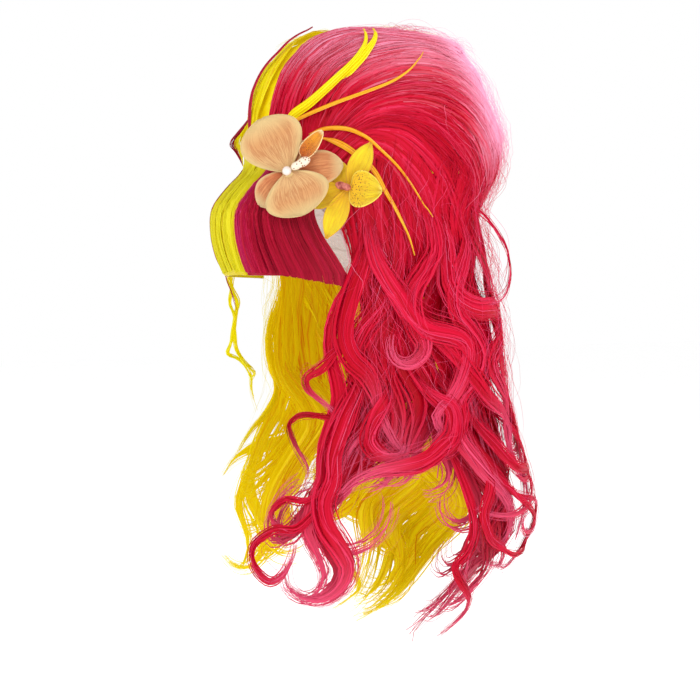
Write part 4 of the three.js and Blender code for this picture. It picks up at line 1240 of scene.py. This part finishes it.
def petals(name, rows, pose, material, hub=None, ripple=1.0, fullness=0.55):
    """Petals of one moulding: each row is turn, root, length, half, peak, cup, bend, base, frill."""
    bm = bmesh.new()
    layer = bm.loops.layers.uv.new("OFBake")
    for number, (turn, root, length, half, peak, cup, bend, base, frill) in enumerate(rows):
        made = bmesh.ops.create_grid(bm, x_segments=18, y_segments=26, size=0.5)
        for corner in made["verts"]:
            x, along = corner.co.x, corner.co.y + 0.5
            for loop in corner.link_loops:
                loop[layer].uv = ((number + 0.02 + 0.96 * (x + 0.5)) / len(rows), along)
            swell = math.sin(math.pi * along**peak) ** fullness if 0 < along < 1 else 0.0
            width = half * max(swell, PETAL_END)
            edge = (2 * x) ** 2
            wavy = frill * math.sin(x * 5 * math.pi) * along
            wavy += ripple * edge * math.sin(along * 9 + number * 2.1 + (2.0 if x > 0 else 0.0)) * along
            height = base + bend * along**2 + cup * width * edge + wavy - 0.8 * math.exp(-((x * 9) ** 2))
            spot = Vector((root + along * length, -2 * x * width, height))
            corner.co = Matrix.Rotation(math.radians(turn), 3, "Z") @ spot
    if hub:
        radius, height = hub
        spot = Matrix.Translation((0, 0, height))
        bmesh.ops.create_circle(bm, cap_ends=True, segments=24, radius=radius, matrix=spot)
    bmesh.ops.remove_doubles(bm, verts=bm.verts, dist=1e-4)
    bmesh.ops.recalc_face_normals(bm, faces=bm.faces)
    bm.transform(pose)
    piece = shaped_piece(name, bm, material)
    cloth = piece.modifiers.new("cloth", "SOLIDIFY")
    cloth.thickness = CLOTH / 1000
    cloth.offset = 0
    return piece


def petal_cloth(name, count, base, body, edge, vein, specks=None, rim_from=0.86):
    """Printed cloth: tinted at the base, pale at the rim, with fine veins that run out along the petal."""
    cloth = Finish(name, Roughness=0.7, Sheen_Weight=0.15)
    grid = cloth.own_map()
    wide, along = cloth.part_of(grid, 0) * count, cloth.part_of(grid, 1)
    across = abs(cloth.node("ShaderNodeMath", {"operation": "FRACT"}, {0: wide}) * 2.0 - 1)
    lines = cloth.noise(cloth.place(wide * 34.0, along * 2.2), 1.0, 3.0)
    veins = cloth.step(abs(lines - 0.5), 0.07, 0.0)
    mottle = cloth.noise(cloth.place(wide * 5.0, along * 5.0), 1.0, 3.0)
    rim = cloth.node("ShaderNodeMath", {"operation": "MAXIMUM"}, {0: across, 1: along})
    tint = cloth.mix(cloth.step(along + (mottle - 0.5) * 0.5, 0.75, 0.05), body, base)
    lined = cloth.mix(veins * cloth.step(rim, 1.0, 0.7) * 0.6, tint, vein)
    colour = cloth.mix(cloth.step(rim + (mottle - 0.5) * 0.1, rim_from, 0.99), lined, edge)
    if specks:
        dots = cloth.noise(cloth.place(wide * 22.0, along * 22.0), 1.0, 1.0)
        colour = cloth.mix(cloth.step(dots, 0.6, 0.66) * cloth.step(along, 0.75, 0.35), colour, specks)
    weave = cloth.noise(cloth.place(wide * 140.0, along * 140.0), 1.0, 1.0)
    cloth.feed(
        Base_Color=colour,
        Roughness=0.6 + 0.25 * mottle,
        Normal=cloth.bump(veins * 0.6 + weave * 0.4, 0.0005, 0.7),
    )
    return cloth.material


PEACH_POSE = flower_pose((76, -84.5, 0.5), 7)
sepal_cloth = petal_cloth(
    "orchid_sepal", 3, srgb(200, 106, 56), srgb(216, 144, 90), srgb(226, 192, 136), srgb(178, 88, 44),
    rim_from=0.7,
)
sepals = petals(
    "peach_sepals",
    [
        [228, 0, 46, 17, 1.25, 0.1, -3, -2.6, 0],
        [8, 0, 57, 18, 1.25, 0.1, -3, -2.6, 0],
        [92, 0, 44, 16, 1.25, 0.1, -7, -2.6, 0],
    ],
    PEACH_POSE,
    sepal_cloth,
    hub=(3, -2.4),
)
stands_for(sepals, "orchid_peach_sepals", "orchid_sepal")
peach_cloth = petal_cloth(
    "orchid_peach", 2, srgb(218, 174, 118), srgb(208, 146, 90), srgb(222, 190, 130), srgb(184, 110, 60),
    rim_from=0.56,
)
peach = petals(
    "peach_petals",
    [[118, 0, 62, 34, 1.35, 0.14, 4, 0, 0], [-66, 0, 49, 35, 1.2, 0.14, 4, 0, 0]],
    PEACH_POSE,
    peach_cloth,
    hub=(6, 0.2),
)
stands_for(peach, "orchid_peach_petals", "orchid_peach")
lip_cloth = petal_cloth(
    "orchid_gold", 1, srgb(206, 104, 14), srgb(240, 160, 24), srgb(250, 226, 170), srgb(180, 84, 16),
    specks=srgb(110, 40, 14),
)
lip = petals("peach_lip", [[46, 21, 34, 8.5, 0.7, 0.55, 12, 3, 0]], PEACH_POSE, lip_cloth)
stands_for(lip, "orchid_peach_lip", "orchid_gold")


def bead(name, turn, reach, size, lift, pose, waist, material):
    """A moulded bead: a waisted column with a hooded end, or a round pearl."""
    bm = bmesh.new()
    bmesh.ops.create_uvsphere(bm, u_segments=32, v_segments=20, radius=1.0)
    for corner in bm.verts:
        x = corner.co.x
        pinch = 1 - waist * math.exp(-(((x + 0.15) / 0.35) ** 2))
        corner.co = Vector((x * size[0], corner.co.y * size[1] * pinch, corner.co.z * size[2] * pinch))
        corner.co.x += reach
        corner.co.z += lift
        corner.co = Matrix.Rotation(math.radians(turn), 3, "Z") @ corner.co
    bm.transform(pose)
    return shaped_piece(name, bm, material)


spotted = Finish("orchid_cream", Roughness=0.5)
spot = spotted.object_place()
dots = spotted.node("ShaderNodeTexVoronoi", {}, {"Vector": spot, "Scale": 340.0})
soil = spotted.noise(spot, 240.0)
cream = spotted.mix(soil, srgb(246, 238, 222), srgb(236, 214, 184))
spotted.feed(
    Base_Color=spotted.mix(spotted.step(dots, 0.32, 0.2), cream, srgb(150, 70, 40)),
    Roughness=0.4 + 0.25 * soil,
    Normal=spotted.bump(soil, 0.0005),
)
column = bead("peach_column", 28, 16.1, (11, 5.4, 4.6), 5.9, PEACH_POSE, 0.25, spotted.material)
stands_for(column, "orchid_peach_column", "orchid_cream")

lustre = Finish("pearl", Coat_Weight=0.8, Coat_Roughness=0.06)
spot = lustre.object_place()
nacre = lustre.noise(spot, 160.0, 3.0)
lustre.feed(
    Base_Color=lustre.mix(nacre, srgb(240, 234, 228), srgb(230, 212, 204)),
    Roughness=0.12 + 0.14 * nacre,
)
pearl = bead("pearl", 0, 0, (4.8, 4.8, 4.8), 5.9, PEACH_POSE, 0.0, lustre.material)
stands_for(pearl, "orchid_pearl", "pearl")


# Yellow orchid: four narrow pointed petals of printed cloth, rims folded up while hot, and a frilled lip.
# A moulded column is glued in its throat, and the flower sits on its pin behind the peach one.
YELLOW_POSE = flower_pose((110, -33, -16), 4)
yellow_cloth = petal_cloth(
    "orchid_yellow", 4, srgb(240, 186, 8), srgb(244, 216, 14), srgb(230, 168, 10), srgb(226, 168, 8)
)
gold = petals(
    "yellow_petals",
    [
        [62, 0, 52, 12, 1.05, 0.25, 4, 0, 0],
        [122, 0, 36, 11, 1.05, 0.2, -5, 0, 0],
        [196, 0, 54, 14, 1.05, 0.3, -1, 0, 0],
        [248, 0, 57, 12, 1.05, 0.25, 5, 0, 0],
    ],
    YELLOW_POSE,
    yellow_cloth,
    hub=(5, 0.2),
    ripple=0.8,
    fullness=0.8,
)
stands_for(gold, "orchid_yellow_petals", "orchid_yellow")
frill_cloth = petal_cloth(
    "orchid_frill", 1, srgb(240, 190, 12), srgb(244, 214, 20), srgb(250, 226, 80), srgb(220, 160, 10),
    specks=srgb(136, 62, 14),
)
frill = petals("yellow_lip", [[-8, 3, 35, 19, 0.62, 0.35, 12, 3, 2.6]], YELLOW_POSE, frill_cloth, ripple=1.6)
stands_for(frill, "orchid_yellow_lip", "orchid_yellow")
blush = Finish("orchid_brown", Roughness=0.55)
spot = blush.object_place()
patch = blush.noise(spot, 160.0, 3.0)
blush.feed(
    Base_Color=blush.mix(blush.step(patch, 0.4, 0.62), srgb(140, 48, 38), srgb(212, 122, 106)),
    Roughness=0.45 + 0.2 * patch,
    Normal=blush.bump(patch, 0.0006),
)
stub = bead("yellow_column", 165, 4, (8.5, 4.6, 4.6), 6.4, YELLOW_POSE, 0.2, blush.material)
stands_for(stub, "orchid_yellow_column", "orchid_brown")

# Pins: short wire stems, wound with green florist's tape and pushed into the hair behind each flower.
# They are hidden between the flowers and the beehive, so they keep their plain form.
wound = Finish("pin_tape", Roughness=0.7)
spot = wound.object_place()
winding = wound.node("ShaderNodeTexWave", {"bands_direction": "DIAGONAL"}, {"Vector": spot, "Scale": 300.0})
wound.feed(
    Base_Color=wound.mix(winding, srgb(64, 78, 40), srgb(96, 110, 62)),
    Normal=wound.bump(winding, 0.0004),
)
for name in ("orchid_peach_pin", "orchid_yellow_pin"):
    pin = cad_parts[name]
    pin.data.materials.clear()
    pin.data.materials.append(wound.material)


# Stage: a plain pale floor below the longest curls, soft boxes round the wig, and the camera.
# The camera stands a little above the brow on the wearer's left front, with a long lens.
FLOOR_Z = -0.57
bm = bmesh.new()
bmesh.ops.create_grid(bm, x_segments=1, y_segments=1, size=6.0, matrix=Matrix.Translation((0, 0, FLOOR_Z)))
paper = Finish(
    "floor_paper", Roughness=0.9, Base_Color=(0.9, 0.9, 0.9, 1),
    Emission_Color=(1, 1, 1, 1), Emission_Strength=0.45,
)
floor = shaped_piece("floor", bm, paper.material)

scene = bpy.context.scene
scene.view_settings.view_transform = "Standard"
world = bpy.data.worlds.new("studio")
scene.world = world
world.use_nodes = True
sky = world.node_tree.nodes["Background"]
sky.inputs["Color"].default_value = (1, 1, 1, 1)
ray = world.node_tree.nodes.new("ShaderNodeLightPath")
level_seen = world.node_tree.nodes.new("ShaderNodeMapRange")
level_seen.inputs["To Min"].default_value = 0.6
level_seen.inputs["To Max"].default_value = 1.0
world.node_tree.links.new(ray.outputs["Is Camera Ray"], level_seen.inputs["Value"])
world.node_tree.links.new(level_seen.outputs["Result"], sky.inputs["Strength"])

TARGET = Vector((0.0172, 0.0275, -0.189))


def way_to(azimuth, elevation):
    """The way from the wig to a lamp or the camera, by degrees round from the front and up."""
    azimuth, elevation = math.radians(azimuth), math.radians(elevation)
    return Vector((
        math.sin(azimuth) * math.cos(elevation), -math.cos(azimuth) * math.cos(elevation), math.sin(elevation)
    ))


def soft_box(name, azimuth, elevation, distance, size, watts):
    way = way_to(azimuth, elevation)
    lamp = bpy.data.lights.new(name, "AREA")
    lamp.shape = "DISK"
    lamp.size = size
    lamp.energy = watts
    box = bpy.data.objects.new(name, lamp)
    box.location = TARGET + way * distance
    box.rotation_euler = (-way).to_track_quat("-Z", "Y").to_euler()
    scene.collection.objects.link(box)


soft_box("key", 34, 36, 1.9, 1.2, 11)
soft_box("fill", 86, 8, 2.2, 1.6, 10)
soft_box("far_fill", -35, 8, 2.0, 1.2, 5)
soft_box("back", 160, 48, 1.9, 1.2, 16)

camera_data = bpy.data.cameras.new("camera")
camera_data.lens = 119
camera_data.sensor_width = 36
camera = bpy.data.objects.new("camera", camera_data)
camera_way = way_to(58, 3)
camera.location = TARGET + camera_way * 2.5
camera.rotation_euler = (-camera_way).to_track_quat("-Z", "Y").to_euler()
scene.collection.objects.link(camera)
scene.camera = camera
